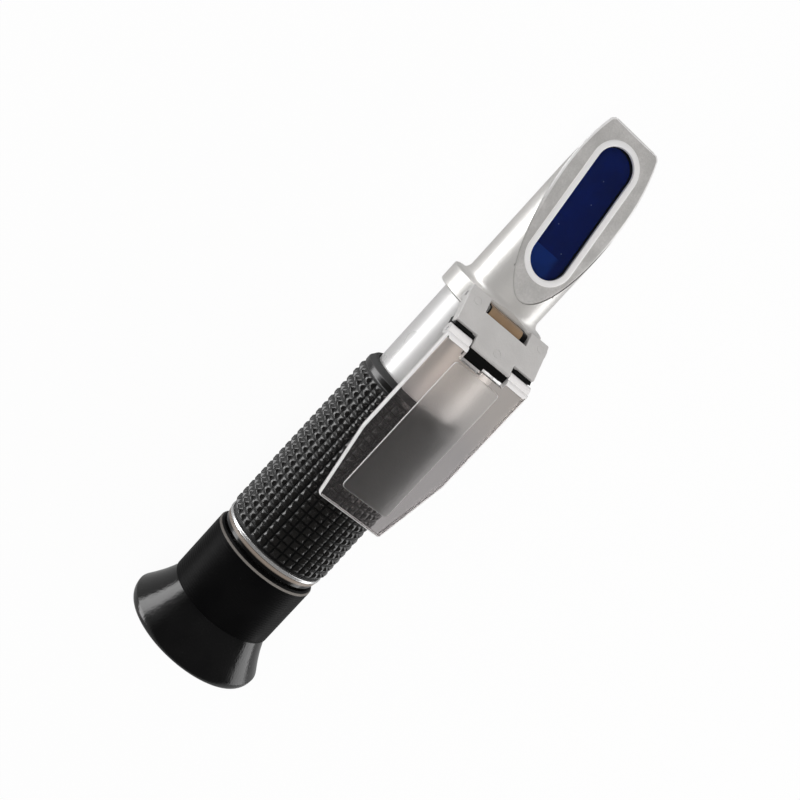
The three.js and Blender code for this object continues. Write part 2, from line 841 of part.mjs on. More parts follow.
/** The rubber sleeve: smooth lips, and square pyramids in straight rows between them. */
function gripSleeve() {
  const bore = tubeRadius + seatGap;
  const knurlFront = gripLipBevel + gripLipBand;
  const knurlRear = gripLength - knurlRearBand;
  const valleyAt = (back) => THREE.MathUtils.lerp(gripFrontRadius, gripRearRadius, back / gripLength);
  const rings = [[0, bore], [0, gripLipRadius], [gripLipBevel, valleyAt(gripLipBevel) + knurlRise / 2]];
  rings.push([knurlFront - knurlRise, valleyAt(knurlFront) + knurlRise / 2]);
  const firstRow = rings.length;
  for (let row = 0; row <= knurlRows; row++) {
    const back = THREE.MathUtils.lerp(knurlFront, knurlRear, row / knurlRows);
    rings.push([back, valleyAt(back)]);
  }
  rings.push([gripLength, gripRearRadius], [gripLength, bore]);

  const corner = (back, radius, column) => {
    const angle = (2 * Math.PI * column) / knurlColumns;
    return [-back, radius * Math.sin(angle), radius * Math.cos(angle)];
  };
  const faces = [];
  rings.forEach(([back, radius], i) => {
    const [nextBack, nextRadius] = rings[(i + 1) % rings.length];
    const isKnurl = i >= firstRow && i < firstRow + knurlRows;
    for (let column = 0; column < knurlColumns; column++) {
      const a = corner(back, radius, column);
      const b = corner(back, radius, column + 1);
      const c = corner(nextBack, nextRadius, column + 1);
      const d = corner(nextBack, nextRadius, column);
      if (isKnurl) {
        const peak = corner((back + nextBack) / 2, (radius + nextRadius) / 2 + knurlRise, column + 1 / 2);
        faces.push(...a, ...b, ...peak, ...b, ...c, ...peak, ...c, ...d, ...peak, ...d, ...a, ...peak);
      } else {
        faces.push(...a, ...b, ...c, ...a, ...c, ...d);
      }
    }
  });
  const geometry = new THREE.BufferGeometry();
  geometry.setAttribute('position', new THREE.Float32BufferAttribute(faces, 3));
  return at(gripStation, piece('grip_sleeve', welded(geometry), finishes.gripRubber));
}

/** The bright ring behind the grip. */
function trimRing() {
  const body = ring(trimLength, trimRadius, tubeRadius + seatGap, roundFaces);
  return at(trimStation, piece('trim_ring', body, finishes.trim));
}

/** The glossy ring that ends the grip and stops the focus ring. */
function gripEndRing() {
  const body = revolved([
    [0, tubeRadius + seatGap],
    [0, endRingFrontRadius],
    [endRingLength, endRingRearRadius],
    [endRingLength, tubeRadius + seatGap],
  ], roundFaces);
  return at(endRingStation, piece('grip_end_ring', body, finishes.glossBlack));
}

/** The friction O-ring under the focus ring. */
function focusSeal() {
  return at(focusSealStation, piece('focus_seal', sealRing(neckRadius), finishes.sealRubber));
}

/** The peg that keeps the eyepiece barrel from turning. */
function guideScrew() {
  const bottom = -neckRadius + runningGap;
  const top = -barrelRadius + guideBite;
  const peg = postBar(guideRadius, bottom, top, 0);
  return at(guideStation, piece('guide_screw', peg, finishes.screw));
}

/** The sliding tube with the eyepiece lenses, its keyway over the peg. */
function eyepieceBarrel() {
  const rear = barrelReach + barrelFlange;
  const shell = revolved([
    [0, barrelBore - barrelLipReach],
    [0, barrelRadius],
    [barrelReach, barrelRadius],
    [barrelReach, barrelRadius + barrelFlangeReach],
    [rear, barrelRadius + barrelFlangeReach],
    [rear, barrelBore],
    [barrelLip, barrelBore],
    [barrelLip, barrelBore - barrelLipReach],
  ]);
  const keyMiddle = guideStation - barrelStation;
  const keyway = block(
    [-keyMiddle - guideRadius - seatGap, -keywayWidth / 2, -barrelRadius - overrun],
    [-keyMiddle + eyepieceTravel + guideRadius + seatGap, keywayWidth / 2, -barrelBore + overrun],
  );
  return at(barrelStation, piece('eyepiece_barrel', cut(shell, keyway), finishes.innerMetal));
}

/** The front lens of the eyepiece. */
function fieldLens() {
  const glass = lens(lensRadius, fieldEdge, 0, fieldSag);
  return at(barrelStation + barrelLip + seamGap, piece('field_lens', glass, finishes.lensGlass));
}

/** The tube that keeps the two eyepiece lenses apart. */
function lensSpacer() {
  const inner = lensRadius - spacerWall;
  const front = barrelStation + barrelLip + fieldEdge + 2 * seamGap + bulge(fieldSag, lensRadius, inner);
  const rear = eyeStation - seamGap - bulge(eyeSag, lensRadius, inner);
  const body = ring(rear - front, lensRadius, inner);
  return at(front, piece('lens_spacer', body, finishes.innerMetal));
}

/** The lens next to the eye. */
function eyeLens() {
  return at(eyeStation, piece('eye_lens', lens(lensRadius, eyeEdge, eyeSag, eyeSag), finishes.lensGlass));
}

/** The threaded ring that holds the eyepiece lenses in. */
function lensRetainer() {
  const inner = lensRadius - retainerReach;
  const front = eyeStation + eyeEdge + seamGap + bulge(eyeSag, lensRadius, inner);
  const rear = flangeStation + barrelFlange;
  const body = ring(rear - front, lensRadius, inner);
  return at(front, piece('lens_retainer', body, finishes.innerMetal));
}

/** The ring that the user turns to focus. */
function focusRing() {
  const back = (station) => station - focusStation;
  const clipGap = seamGap;
  const webFront = focusLength - focusWeb;
  const seat = focusBore + barrelClipSeat;
  const webBore = barrelRadius;
  const body = revolved([
    [0, focusBore],
    [0, focusNoseRadius],
    [focusNoseBevel, focusRadius],
    [focusLength, focusRadius],
    [focusLength, focusSpigotRadius],
    [focusLength + focusSpigotLength, focusSpigotRadius],
    [focusLength + focusSpigotLength, webBore],
    [webFront, webBore],
    [webFront, focusBore],
    [back(clipStation) + barrelClipThickness + clipGap, focusBore],
    [back(clipStation) + barrelClipThickness + clipGap, seat],
    [back(clipStation) - clipGap, seat],
    [back(clipStation) - clipGap, focusBore],
  ], roundFaces);
  return at(focusStation, piece('focus_ring', body, finishes.glossBlack));
}

/** The snap ring that pulls the barrel along when the focus ring backs out. */
function barrelClip() {
  const outer = focusBore + barrelClipSeat - seamGap;
  const body = ring(barrelClipThickness, outer, barrelRadius + seatGap + runningGap);
  return at(clipStation, piece('barrel_clip', body, finishes.screw));
}

/** The soft flared cup around the eye. */
function eyecup() {
  const bore = focusSpigotRadius + seatGap;
  const lipStart = cupFlareLength;
  const lipEnd = cupFlareLength + cupLipLength;
  const profile = [[0, bore]];
  for (let i = 0; i <= cupSteps; i++) {
    const share = i / cupSteps;
    const bow = cupBow * Math.sin(Math.PI * share);
    profile.push([cupFlareLength * share, THREE.MathUtils.lerp(cupNeckRadius, cupRimRadius, share) - bow]);
  }
  for (let i = 1; i <= cupSteps; i++) {
    const angle = (Math.PI / 2) * (i / cupSteps);
    profile.push([
      lipStart + cupLipLength * Math.sin(angle),
      cupRimRadius - cupLipInset * (1 - Math.cos(angle)),
    ]);
  }
  const floorRear = focusSpigotLength + seatGap + cupFloor;
  profile.push([lipEnd, cupRimRadius - cupLipInset - cupWall / 2]);
  profile.push([lipStart, cupRimRadius - cupWall]);
  profile.push([floorRear + cupWall, cupNeckRadius - cupWall / 2]);
  profile.push([floorRear, cupNeckRadius - cupWall]);
  profile.push([floorRear, cupEyeRadius]);
  profile.push([floorRear - cupFloor, cupEyeRadius]);
  profile.push([floorRear - cupFloor, bore]);
  return at(cupStation, piece('eyecup', revolved(profile, roundFaces), finishes.glossBlack));
}

/** A spot of the hinge arm in the arm's own frame, with X down the slope and Z out of it. */
function armSpot(up, depth) {
  return { x: -up, z: -depth };
}

/** The sloping arm: two knuckles at its front, a tongue at its rear. */
function hingeArm() {
  const width = armHalfWidth;
  const side = (y) => [
    [-armBevel, -y],
    [0, -y + armBevel],
    [0, y - armBevel],
    [-armBevel, y],
  ];
  const plan = [
    ...side(width),
    [-armSideLength + armBevel, width],
    [-armSideLength, width - armBevel],
    [-armSideLength, armTongueHalfWidth],
    [-armTongueLength, armTongueHalfWidth],
    [-armTongueLength, -armTongueHalfWidth],
    [-armSideLength, -armTongueHalfWidth],
    [-armSideLength, -width + armBevel],
    [-armSideLength + armBevel, -width],
  ];
  const plate = upright(plan, -armThickness, 0);
  const pin = armSpot(armPinUp, armPinDepth);
  const knuckles = [-1, 1].map((sign) => {
    const halfWidth = (armHalfWidth - armNotchHalfWidth) / 2;
    const middle = sign * (armHalfWidth + armNotchHalfWidth) / 2;
    return crossBar(armKnuckleRadius, halfWidth, pin, middle);
  });
  const above = block([-armTongueLength, -width, 0], [armKnuckleRadius, width, armKnuckleRadius]);
  const notch = block(
    [-armNotchLength, -armNotchHalfWidth, -armThickness - armKnuckleRadius],
    [overrun, armNotchHalfWidth, overrun],
  );
  const pinHole = crossBar(pinHoleRadius, armHalfWidth + overrun, pin);
  const underTongue = block(
    [-armTongueLength - overrun, -armTongueHalfWidth - overrun, -armThickness - overrun],
    [-armSideLength, armTongueHalfWidth + overrun, -armTongueThickness],
  );
  const body = cut(joined(plate, ...knuckles), above, notch, pinHole, underTongue);
  return piece('hinge_arm', body, finishes.armPlastic);
}

/** The black bearing block under the arm, with a lobe around the plate's pin. */
function hingeInsert() {
  const pin = armSpot(platePinUp, platePinDepth);
  const width = armHalfWidth - seatGap;
  const top = -armThickness - seamGap;
  const base = block([-platePinUp, -width, -insertDepth], [-insertUp, width, top]);
  const wingInner = armTongueHalfWidth + seatGap;
  const wings = [[-width, -wingInner], [wingInner, width]].map(([right, left]) => block(
    [-platePinUp, right, -insertDepth],
    [-insertWingUp, left, -insertWingDepth],
  ));
  const tongueTop = -armTongueThickness - seamGap;
  const bush = block(
    [-armTongueLength - seamGap, -armTongueHalfWidth, -insertDepth],
    [-armSideLength - seamGap, armTongueHalfWidth, tongueTop],
  );
  const lobes = [[-armTongueHalfWidth, lobeReach - lobeStep], [0, lobeReach]].map(([right, reach]) => {
    const bar = block([-reach, right, -lobeDrop], [0, armTongueHalfWidth, lobeRise]);
    return bar.rotateY(-armTilt).translate(pin.x, 0, pin.z);
  });
  const tongueRoom = block(
    [-armTongueLength - seamGap, -armTongueHalfWidth - overrun, tongueTop],
    [0, armTongueHalfWidth + overrun, armThickness],
  );
  const knuckleRooms = [-1, 1].map((sign) => {
    const halfWidth = (plateHalfWidth - armTongueHalfWidth) / 2;
    const middle = sign * (plateHalfWidth + armTongueHalfWidth + 2 * seamGap) / 2;
    return crossBar(plateKnuckleRadius + seatGap, halfWidth, pin, middle, innerFaces);
  });
  const pinHole = crossBar(pinHoleRadius, armHalfWidth, pin);
  const body = cut(joined(base, ...wings, bush, ...lobes), tongueRoom, ...knuckleRooms, pinHole);
  return piece('hinge_insert', body, finishes.glossBlack);
}

/** The pin through the collar's lug and the arm's knuckles. */
function armPinBar() {
  const pin = crossBar(hingePinRadius, armHalfWidth - runningGap, armSpot(armPinUp, armPinDepth));
  return piece('arm_pin', pin, finishes.screw);
}

/** The bronze spring folded over the lug, which keeps the arm where it is put. */
function armSpring() {
  const inner = lugRadius + runningGap;
  const outer = springOuterRadius;
  const foot = collarFlat + seamGap;
  const arc = (radius, turn) => {
    const points = [];
    for (let i = 0; i <= springSteps; i++) {
      const angle = Math.PI * (turn > 0 ? i / springSteps : 1 - i / springSteps);
      points.push([armPin.x + radius * Math.cos(angle), armPin.z + radius * Math.sin(angle)]);
    }
    return points;
  };
  const outline = [
    [armPin.x + outer, foot],
    ...arc(outer, 1),
    [armPin.x - outer, foot],
    [armPin.x - inner, foot],
    ...arc(inner, -1),
    [armPin.x + inner, foot],
  ];
  return piece('arm_spring', across(outline, springHalfWidth), finishes.bronze);
}

/** The pin through the plate's knuckles and the insert's lobe, in the plate's own frame. */
function platePinBar() {
  const pin = crossBar(hingePinRadius, plateHalfWidth - runningGap, { x: 0, z: 0 });
  return piece('plate_pin', pin, finishes.screw);
}

/** The clear daylight plate, in the frame of its own hinge pin. */
function daylightPlate() {
  const bottom = plateLift;
  const top = bottom + plateThickness;
  const end = -plateLength;
  const taper = -plateTaperRun;
  const half = [
    [0, -plateHalfWidth],
    [taper, -plateHalfWidth],
    [end + plateCorner, -plateEndHalfWidth - plateCorner / 4],
    [end, -plateEndHalfWidth + plateCorner],
  ];
  const plan = [...half, ...half.map(([x, y]) => [x, -y]).reverse()].reverse();
  const slab = upright(plan, bottom, top);
  const brow = across([
    [overrun, bottom],
    [overrun, top + overrun],
    [-plateBrow, top + overrun],
    [-plateBrow, top],
    [-plateBrow * (1 - Math.SQRT1_2), top - plateBrow * (1 - Math.SQRT1_2)],
    [0, top - plateBrow],
    [0, bottom],
  ], plateHalfWidth + overrun);
  const knuckleInner = armTongueHalfWidth + seatGap;
  const knuckles = [-1, 1].map((sign) => {
    const halfWidth = (plateHalfWidth - knuckleInner) / 2;
    const middle = sign * (plateHalfWidth + knuckleInner) / 2;
    return crossBar(plateKnuckleRadius, halfWidth, { x: 0, z: 0 }, middle, innerFaces);
  });
  const lobeSwing = Math.hypot(lobeReach, lobeRise) + seatGap;
  const notches = [[-knuckleInner, lobeSwing - lobeStep], [0, lobeSwing]].map(([right, depth]) => block(
    [-depth, right, bottom - overrun],
    [plateKnuckleRadius + overrun, knuckleInner, top + overrun],
  ));
  const padRear = -padRearRun;
  const padFront = -padFrontRun;
  const pad = upright([
    [padFront, -padHalfWidth + padCorner],
    [padFront, padHalfWidth - padCorner],
    [padFront - padCorner, padHalfWidth],
    [padRear + padCorner, padHalfWidth],
    [padRear, padHalfWidth - padCorner],
    [padRear, -padHalfWidth + padCorner],
    [padRear + padCorner, -padHalfWidth],
    [padFront - padCorner, -padHalfWidth],
  ], top - plateThickness / 2, top + padRise);
  const pinHole = crossBar(pinHoleRadius, plateHalfWidth + overrun, { x: 0, z: 0 });
  const body = cut(joined(cut(slab, brow), ...knuckles, pad), ...notches, pinHole);
  return piece('daylight_plate', body, finishes.clearPlastic);
}

const prismHead = assembly([prismHousing(), prismBezel(), prism(), prismSeal(), lightBaffle()]);
const tube = assembly([bodyTube(), tubeSeal(), tubeSetScrew()]);
const objective = assembly([
  objectiveCell(),
  objectiveLens(),
  bimetalStrip(),
  stripScrew(),
  lensCarrier(),
  calibrationScrew(),
]);
const scale = assembly([reticleHolder(), reticle(), reticleClip()]);
const grip = assembly([gripSleeve(), trimRing(), gripEndRing()]);
const eyepiece = assembly([
  guideScrew(),
  eyepieceBarrel(),
  fieldLens(),
  lensSpacer(),
  eyeLens(),
  lensRetainer(),
  barrelClip(),
  focusSeal(),
  focusRing(),
  eyecup(),
]);
const coverArm = assembly([hingeArm(), hingeInsert(), armPinBar()], along(armEdgeStation), armEdgeHeight, armTilt);
const coverPlate = assembly([daylightPlate(), platePinBar()], platePin.x, platePin.z);
const cover = assembly([armSpring(), coverArm, coverPlate]);

const refractometer = assembly([prismHead, tube, objective, scale, grip, eyepiece, cover]);
refractometer.name = 'handheld_refractometer';

export default refractometer;
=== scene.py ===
"""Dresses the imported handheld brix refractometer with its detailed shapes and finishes.

Sizes are in millimetres and angles in degrees until a finished piece is scaled to
metres. The optical axis is X, with +X towards the prism, and the prism's measuring
face looks to +Z. A station is a distance back from the prism tip along the axis.
"""

from __future__ import annotations

import json
import logging
import math
from collections.abc import Callable, Iterable, Sequence
from dataclasses import dataclass
from enum import Enum
from typing import Any

import bmesh
import bpy
from mathutils import Matrix, Vector

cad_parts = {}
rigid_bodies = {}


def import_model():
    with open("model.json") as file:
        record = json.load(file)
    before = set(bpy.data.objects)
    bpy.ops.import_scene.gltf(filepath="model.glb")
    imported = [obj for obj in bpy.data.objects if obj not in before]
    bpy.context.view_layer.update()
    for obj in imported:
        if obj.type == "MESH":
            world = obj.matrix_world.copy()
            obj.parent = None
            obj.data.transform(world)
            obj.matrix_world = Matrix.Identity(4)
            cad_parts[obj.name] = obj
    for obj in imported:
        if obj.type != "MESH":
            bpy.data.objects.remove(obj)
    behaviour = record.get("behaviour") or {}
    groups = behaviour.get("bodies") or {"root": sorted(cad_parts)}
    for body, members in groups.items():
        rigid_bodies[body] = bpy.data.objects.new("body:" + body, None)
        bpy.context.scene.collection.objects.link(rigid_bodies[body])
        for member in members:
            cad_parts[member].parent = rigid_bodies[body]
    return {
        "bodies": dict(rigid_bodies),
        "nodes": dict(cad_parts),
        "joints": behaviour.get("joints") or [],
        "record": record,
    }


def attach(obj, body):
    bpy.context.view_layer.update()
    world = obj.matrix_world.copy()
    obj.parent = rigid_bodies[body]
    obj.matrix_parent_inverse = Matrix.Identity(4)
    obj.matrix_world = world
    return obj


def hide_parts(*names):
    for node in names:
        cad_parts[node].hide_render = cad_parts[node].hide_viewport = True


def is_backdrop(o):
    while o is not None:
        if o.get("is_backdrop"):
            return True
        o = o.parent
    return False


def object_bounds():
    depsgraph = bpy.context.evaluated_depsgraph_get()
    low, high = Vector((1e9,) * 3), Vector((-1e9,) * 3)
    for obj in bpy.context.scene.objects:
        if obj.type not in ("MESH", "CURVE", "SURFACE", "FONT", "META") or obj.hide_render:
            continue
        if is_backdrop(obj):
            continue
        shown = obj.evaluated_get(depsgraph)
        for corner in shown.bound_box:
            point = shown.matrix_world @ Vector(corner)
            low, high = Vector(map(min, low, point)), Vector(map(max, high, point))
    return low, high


log = logging.getLogger("refractometer")

MM = 0.001
TIP_X = 102.2
WELD = 0.002
ROUND_STEPS = 160
BAR_STEPS = 48
CORNER_STEPS = 6
RIM_STEPS = 3
BEVEL_STEPS = 2
BEVEL_ANGLE = 35
FLAT_ENOUGH = 0.96
GROOVE_HALF = 0.46
SET_SCREW = 58.4
SET_SCREW_HOLE = 1.1
ARM_PIN = (51.795, 13.472)
ARM_EDGE = (54.5, 13.0)
ARM_SLOPE = 43.0
ARM_THICKNESS = 2.3

Mesh = bpy.types.Mesh
Socket = bpy.types.NodeSocket
Node = bpy.types.Node
Colour = tuple[float, float, float]
Point2 = tuple[float, float]
Corner = tuple[float, ...]


class Carve(Enum):
    """What a tool solid does to the solid that it meets."""

    JOIN = "UNION"
    CUT = "DIFFERENCE"
    COMMON = "INTERSECT"


class Body(Enum):
    """The moving bodies of the instrument."""

    MAIN = "main_body"
    CALIBRATION = "calibration"
    EYEPIECE = "eyepiece"
    FOCUS = "focus"
    ARM = "cover_arm"
    PLATE = "cover_plate"


def along(station: float) -> float:
    """Return the place of a station on the X axis."""
    return TIP_X - station


# Meshes


def mesh_of(points: Iterable[Sequence[float]], faces: Iterable[Sequence[int]]) -> Mesh:
    """Make a mesh, weld its equal corners and turn its faces outwards.

    Args:
        points: The corners.
        faces: Corner numbers of each face.

    Returns:
        The new mesh.
    """
    mesh = bpy.data.meshes.new("shape")
    mesh.from_pydata([tuple(point) for point in points], [], [tuple(face) for face in faces])
    return tidied(mesh)


def tidied(mesh: Mesh) -> Mesh:
    """Weld a mesh's equal corners and turn its faces outwards.

    Args:
        mesh: The mesh, which is changed.

    Returns:
        The same mesh.
    """
    work = bmesh.new()
    work.from_mesh(mesh)
    bmesh.ops.remove_doubles(work, verts=work.verts, dist=WELD)
    bmesh.ops.recalc_face_normals(work, faces=work.faces)
    work.to_mesh(mesh)
    work.free()
    return mesh


def filleted(corners: Sequence[Corner], closed: bool = True) -> list[Point2]:
    """Round the corners of a flat outline.

    Args:
        corners: The corners as (first, second) or (first, second, radius).
        closed: Whether the last corner joins the first.

    Returns:
        The outline with an arc at each corner that has a radius.
    """
    outline: list[Point2] = []
    count = len(corners)
    for i, corner in enumerate(corners):
        here = Vector(corner[:2])
        radius = corner[2] if len(corner) > 2 else 0
        if radius == 0 or (not closed and i in (0, count - 1)):
            outline.append((here.x, here.y))
            continue
        back = Vector(corners[i - 1][:2]) - here
        ahead = Vector(corners[(i + 1) % count][:2]) - here
        half = back.angle(ahead) / 2
        reach = min(radius / math.tan(half), 0.49 * min(back.length, ahead.length))
        centre = here + (back.normalized() + ahead.normalized()).normalized() * reach / math.cos(half)
        start = here + back.normalized() * reach - centre
        end = here + ahead.normalized() * reach - centre
        sweep = math.atan2(start.x * end.y - start.y * end.x, start.dot(end))
        for step in range(CORNER_STEPS + 1):
            spoke = start.copy()
            spoke.rotate(Matrix.Rotation(sweep * step / CORNER_STEPS, 2))
            outline.append((centre.x + spoke.x, centre.y + spoke.y))
    return outline


def walls(loops: int, count: int, ring: bool) -> list[tuple[int, ...]]:
    """List the faces between neighbouring loops of corners.

    Args:
        loops: How many loops there are.
        count: How many corners each has.
        ring: Whether the last loop joins the first one.

    Returns:
        The corner numbers of each face.
    """
    faces = []
    for i in range(loops if ring else loops - 1):
        first, second = i * count, (i + 1) % loops * count
        for k in range(count):
            m = (k + 1) % count
            faces.append((first + k, first + m, second + m, second + k))
    return faces


def revolved(profile: Sequence[Point2], steps: int = ROUND_STEPS, open_ended: bool = False) -> Mesh:
    """Turn a profile on the optical axis.

    Args:
        profile: The profile as (station, radius).
        steps: Number of faces around.
        open_ended: Leave the gap between the profile's two ends open.

    Returns:
        The turned mesh.
    """
    points: list[tuple[float, float, float]] = []
    for station, radius in profile:
        for k in range(steps):
            angle = math.tau * k / steps
            points.append((along(station), radius * math.sin(angle), radius * math.cos(angle)))
    on_axis = profile[0][1] == 0 and profile[-1][1] == 0
    return mesh_of(points, walls(len(profile), steps, ring=not (open_ended or on_axis)))


def lofted(*loops: Sequence[Sequence[float]], ring: bool = False) -> Mesh:
    """Join neighbouring loops of corners into a closed solid.

    Args:
        *loops: The loops in order, of equal length.
        ring: Join the last loop to the first one, in place of closing both ends.

    Returns:
        The closed mesh.
    """
    count, last = len(loops[0]), (len(loops) - 1) * len(loops[0])
    ends = [] if ring else [range(count), range(last + count - 1, last - 1, -1)]
    return mesh_of([point for loop in loops for point in loop], [*ends, *walls(len(loops), count, ring)])


def across(outline: Sequence[Point2], half_width: float, middle: float = 0) -> Mesh:
    """Give a side outline of (x, z) its width across.

    Args:
        outline: The outline.
        half_width: Half of the width.
        middle: Where the middle of the width is.

    Returns:
        The solid.
    """
    right, left = middle - half_width, middle + half_width
    return lofted([(x, right, z) for x, z in outline], [(x, left, z) for x, z in outline])


def upright(outline: Sequence[Point2], bottom: float, top: float) -> Mesh:
    """Give a plan outline of (x, y) its height.

    Args:
        outline: The outline.
        bottom: Height of the lower end.
        top: Height of the upper end.

    Returns:
        The solid.
    """
    return lofted([(x, y, bottom) for x, y in outline], [(x, y, top) for x, y in outline])


def inset(outline: Sequence[Point2], amount: float) -> list[Point2]:
    """Move an outline's corners inwards.

    Args:
        outline: The closed outline.
        amount: How far its sides move.

    Returns:
        The smaller outline, with as many corners.
    """
    count = len(outline)
    area = sum(outline[i - 1][0] * outline[i][1] - outline[i][0] * outline[i - 1][1] for i in range(count))
    side = math.copysign(1, area)
    result = []
    for i, (x, y) in enumerate(outline):
        before = Vector((x - outline[i - 1][0], y - outline[i - 1][1])).normalized()
        after = Vector((outline[(i + 1) % count][0] - x, outline[(i + 1) % count][1] - y)).normalized()
        inwards = Vector((-before.y - after.y, before.x + after.x)) * side
        reach = amount / max(0.3, inwards.length_squared / 2)
        result.append((x + inwards.x * reach, y + inwards.y * reach))
    return result


def slab(outline: Sequence[Point2], bottom: float, top: float, edge: float) -> Mesh:
    """Give a plan outline its height and rounded rims.

    Args:
        outline: The plan.
        bottom: Height of the lower side.
        top: Height of the upper side.
        edge: Radius of the rims.

    Returns:
        The solid.
    """
    turns = [math.pi / 2 * i / RIM_STEPS for i in range(RIM_STEPS + 1)]
    levels = [(edge * (1 - math.sin(t)), bottom + edge * (1 - math.cos(t))) for t in turns]
    levels += [(edge * (1 - math.cos(t)), top - edge * (1 - math.sin(t))) for t in turns]
    return lofted(*([(x, y, z) for x, y in inset(outline, amount)] for amount, z in levels))


def circle(radius: float, x: float = 0, y: float = 0) -> list[Point2]:
    """Return the corners of a round outline about a middle."""
    turns = [math.tau * k / BAR_STEPS for k in range(BAR_STEPS)]
    return [(x + radius * math.cos(turn), y + radius * math.sin(turn)) for turn in turns]


def block(low: Sequence[float], high: Sequence[float]) -> Mesh:
    """Return a box between two corners."""
    (x0, y0, bottom), (x1, y1, top) = low, high
    return upright([(x0, y0), (x1, y0), (x1, y1), (x0, y1)], bottom, top)


def groove(station: float, radius: float, depth: float) -> list[Point2]:
    """Return the profile of a seal's groove in a round surface."""
    front, rear = station - GROOVE_HALF, station + GROOVE_HALF
    return [(front, radius), (front, radius - depth), (rear, radius - depth), (rear, radius)]


def placed(name: str, data: bpy.types.ID) -> bpy.types.Object:
    """Add an object to the scene.

    Args:
        name: The object's name.
        data: Its mesh, lamp or camera.

    Returns:
        The object.
    """
    made = bpy.data.objects.new(name, data)
    bpy.context.scene.collection.objects.link(made)
    return made


def result_of(carrier: bpy.types.Object) -> Mesh:
    """Take the mesh that an object's modifiers give, and remove the object.

    Args:
        carrier: The object.

    Returns:
        The mesh.
    """
    result = bpy.data.meshes.new_from_object(carrier.evaluated_get(bpy.context.evaluated_depsgraph_get()))
    bpy.data.objects.remove(carrier)
    return result


def moved(mesh: Mesh, matrix: Matrix) -> Mesh:
    """Return the same mesh, moved by a matrix."""
    mesh.transform(matrix)
    return mesh


def shaped(mesh: Mesh, kind: str, **settings: Any) -> Mesh:
    """Pass a mesh through one modifier.

    Args:
        mesh: The mesh that goes in.
        kind: The modifier's type.
        **settings: The modifier's settings.

    Returns:
        The mesh that comes out.
    """
    carrier = placed("work", mesh)
    modifier = carrier.modifiers.new("shape", kind)
    for name, value in settings.items():
        setattr(modifier, name, value)
    return result_of(carrier)


def carved(mesh: Mesh, how: Carve, *tools: Mesh) -> Mesh:
    """Join, cut or intersect a solid with others.

    Args:
        mesh: The solid to start from.
        how: What the tools do to it.
        *tools: The other solids.

    Returns:
        The resulting solid.
    """
    for tool in tools:
        cutter = placed("tool", tool)
        mesh = shaped(mesh, "BOOLEAN", operation=how.value, solver="EXACT", object=cutter)
        bpy.data.objects.remove(cutter)
    return mesh


def bevelled(mesh: Mesh, width: float) -> Mesh:
    """Round the edges of a solid.

    Args:
        mesh: The solid.
        width: Width of the rounding.

    Returns:
        The rounded solid.
    """
    limit = math.radians(BEVEL_ANGLE)
    return shaped(mesh, "BEVEL", width=width, segments=BEVEL_STEPS, limit_method="ANGLE", angle_limit=limit)


def node_copy(node: bpy.types.Object, width: float) -> Mesh:
    """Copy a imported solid, merge its loose faces and round its edges.

    Args:
        node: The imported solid's object.
        width: Width of the rounding.

    Returns:
        The rounded copy, in millimetres.
    """
    mesh = node.data.copy()
    mesh.transform(Matrix.Scale(1 / MM, 4))
    work = bmesh.new()
    work.from_mesh(mesh)
    bmesh.ops.remove_doubles(work, verts=work.verts, dist=WELD)
    bmesh.ops.dissolve_limit(work, angle_limit=math.radians(1), verts=work.verts, edges=work.edges)
    work.to_mesh(mesh)
    work.free()
    mesh.materials.clear()
    return bevelled(mesh, width)


# Node trees


class Sheet:
    """Fills a node tree in short calls."""

    def __init__(self, tree: bpy.types.NodeTree) -> None:
        """Keep the tree and empty it."""
        self.tree = tree
        tree.nodes.clear()

    def add(
        self, kind: str, settings: dict[str, Any] | None = None, inputs: dict[Any, Any] | None = None
    ) -> Node:
        """Add a node.

        Args:
            kind: The node's type.
            settings: Its settings.
            inputs: Values or sockets for its inputs, by name or number.

        Returns:
            The node.
        """
        node = self.tree.nodes.new(kind)
        for name, value in (settings or {}).items():
            setattr(node, name, value)
        for name, value in (inputs or {}).items():
            if isinstance(value, Socket):
                self.tree.links.new(value, node.inputs[name])
            else:
                node.inputs[name].default_value = value
        return node

    def math(self, operation: str, *values: Any) -> Socket:
        """Add a sum on values and return its result."""
        return self.add("ShaderNodeMath", {"operation": operation}, dict(enumerate(values))).outputs[0]

    def vector(self, operation: str, *values: Any) -> Node:
        """Add a sum on vectors and return its node."""
        return self.add("ShaderNodeVectorMath", {"operation": operation}, dict(enumerate(values)))

    def blend(self, share: Any, first: Any, second: Any, colours: bool = True) -> Socket:
        """Mix two colours or values.

        Args:
            share: The second one's share.
            first: The first colour or value.
            second: The second colour or value.
            colours: Whether they are colours.

        Returns:
            The mixed socket.
        """
        if colours:
            first, second = (c if isinstance(c, Socket) else (*c, 1) for c in (first, second))
            node = self.add("ShaderNodeMix", {"data_type": "RGBA"}, {0: share, 6: first, 7: second})
            return node.outputs[2]
        return self.add("ShaderNodeMix", {"data_type": "FLOAT"}, {0: share, 2: first, 3: second}).outputs[0]

    def ramp(self, value: Socket, low: float, high: float, start: float = 0, end: float = 1) -> Socket:
        """Map a range of values to another one, smoothly and with limits.

        Args:
            value: The value.
            low: Where the range starts.
            high: Where the range ends.
            start: The result at the start.
            end: The result at the end.

        Returns:
            The mapped value.
        """
        inputs = {"Value": value, "From Min": low, "From Max": high, "To Min": start, "To Max": end}
        return self.add("ShaderNodeMapRange", {"interpolation_type": "SMOOTHSTEP"}, inputs).outputs[0]


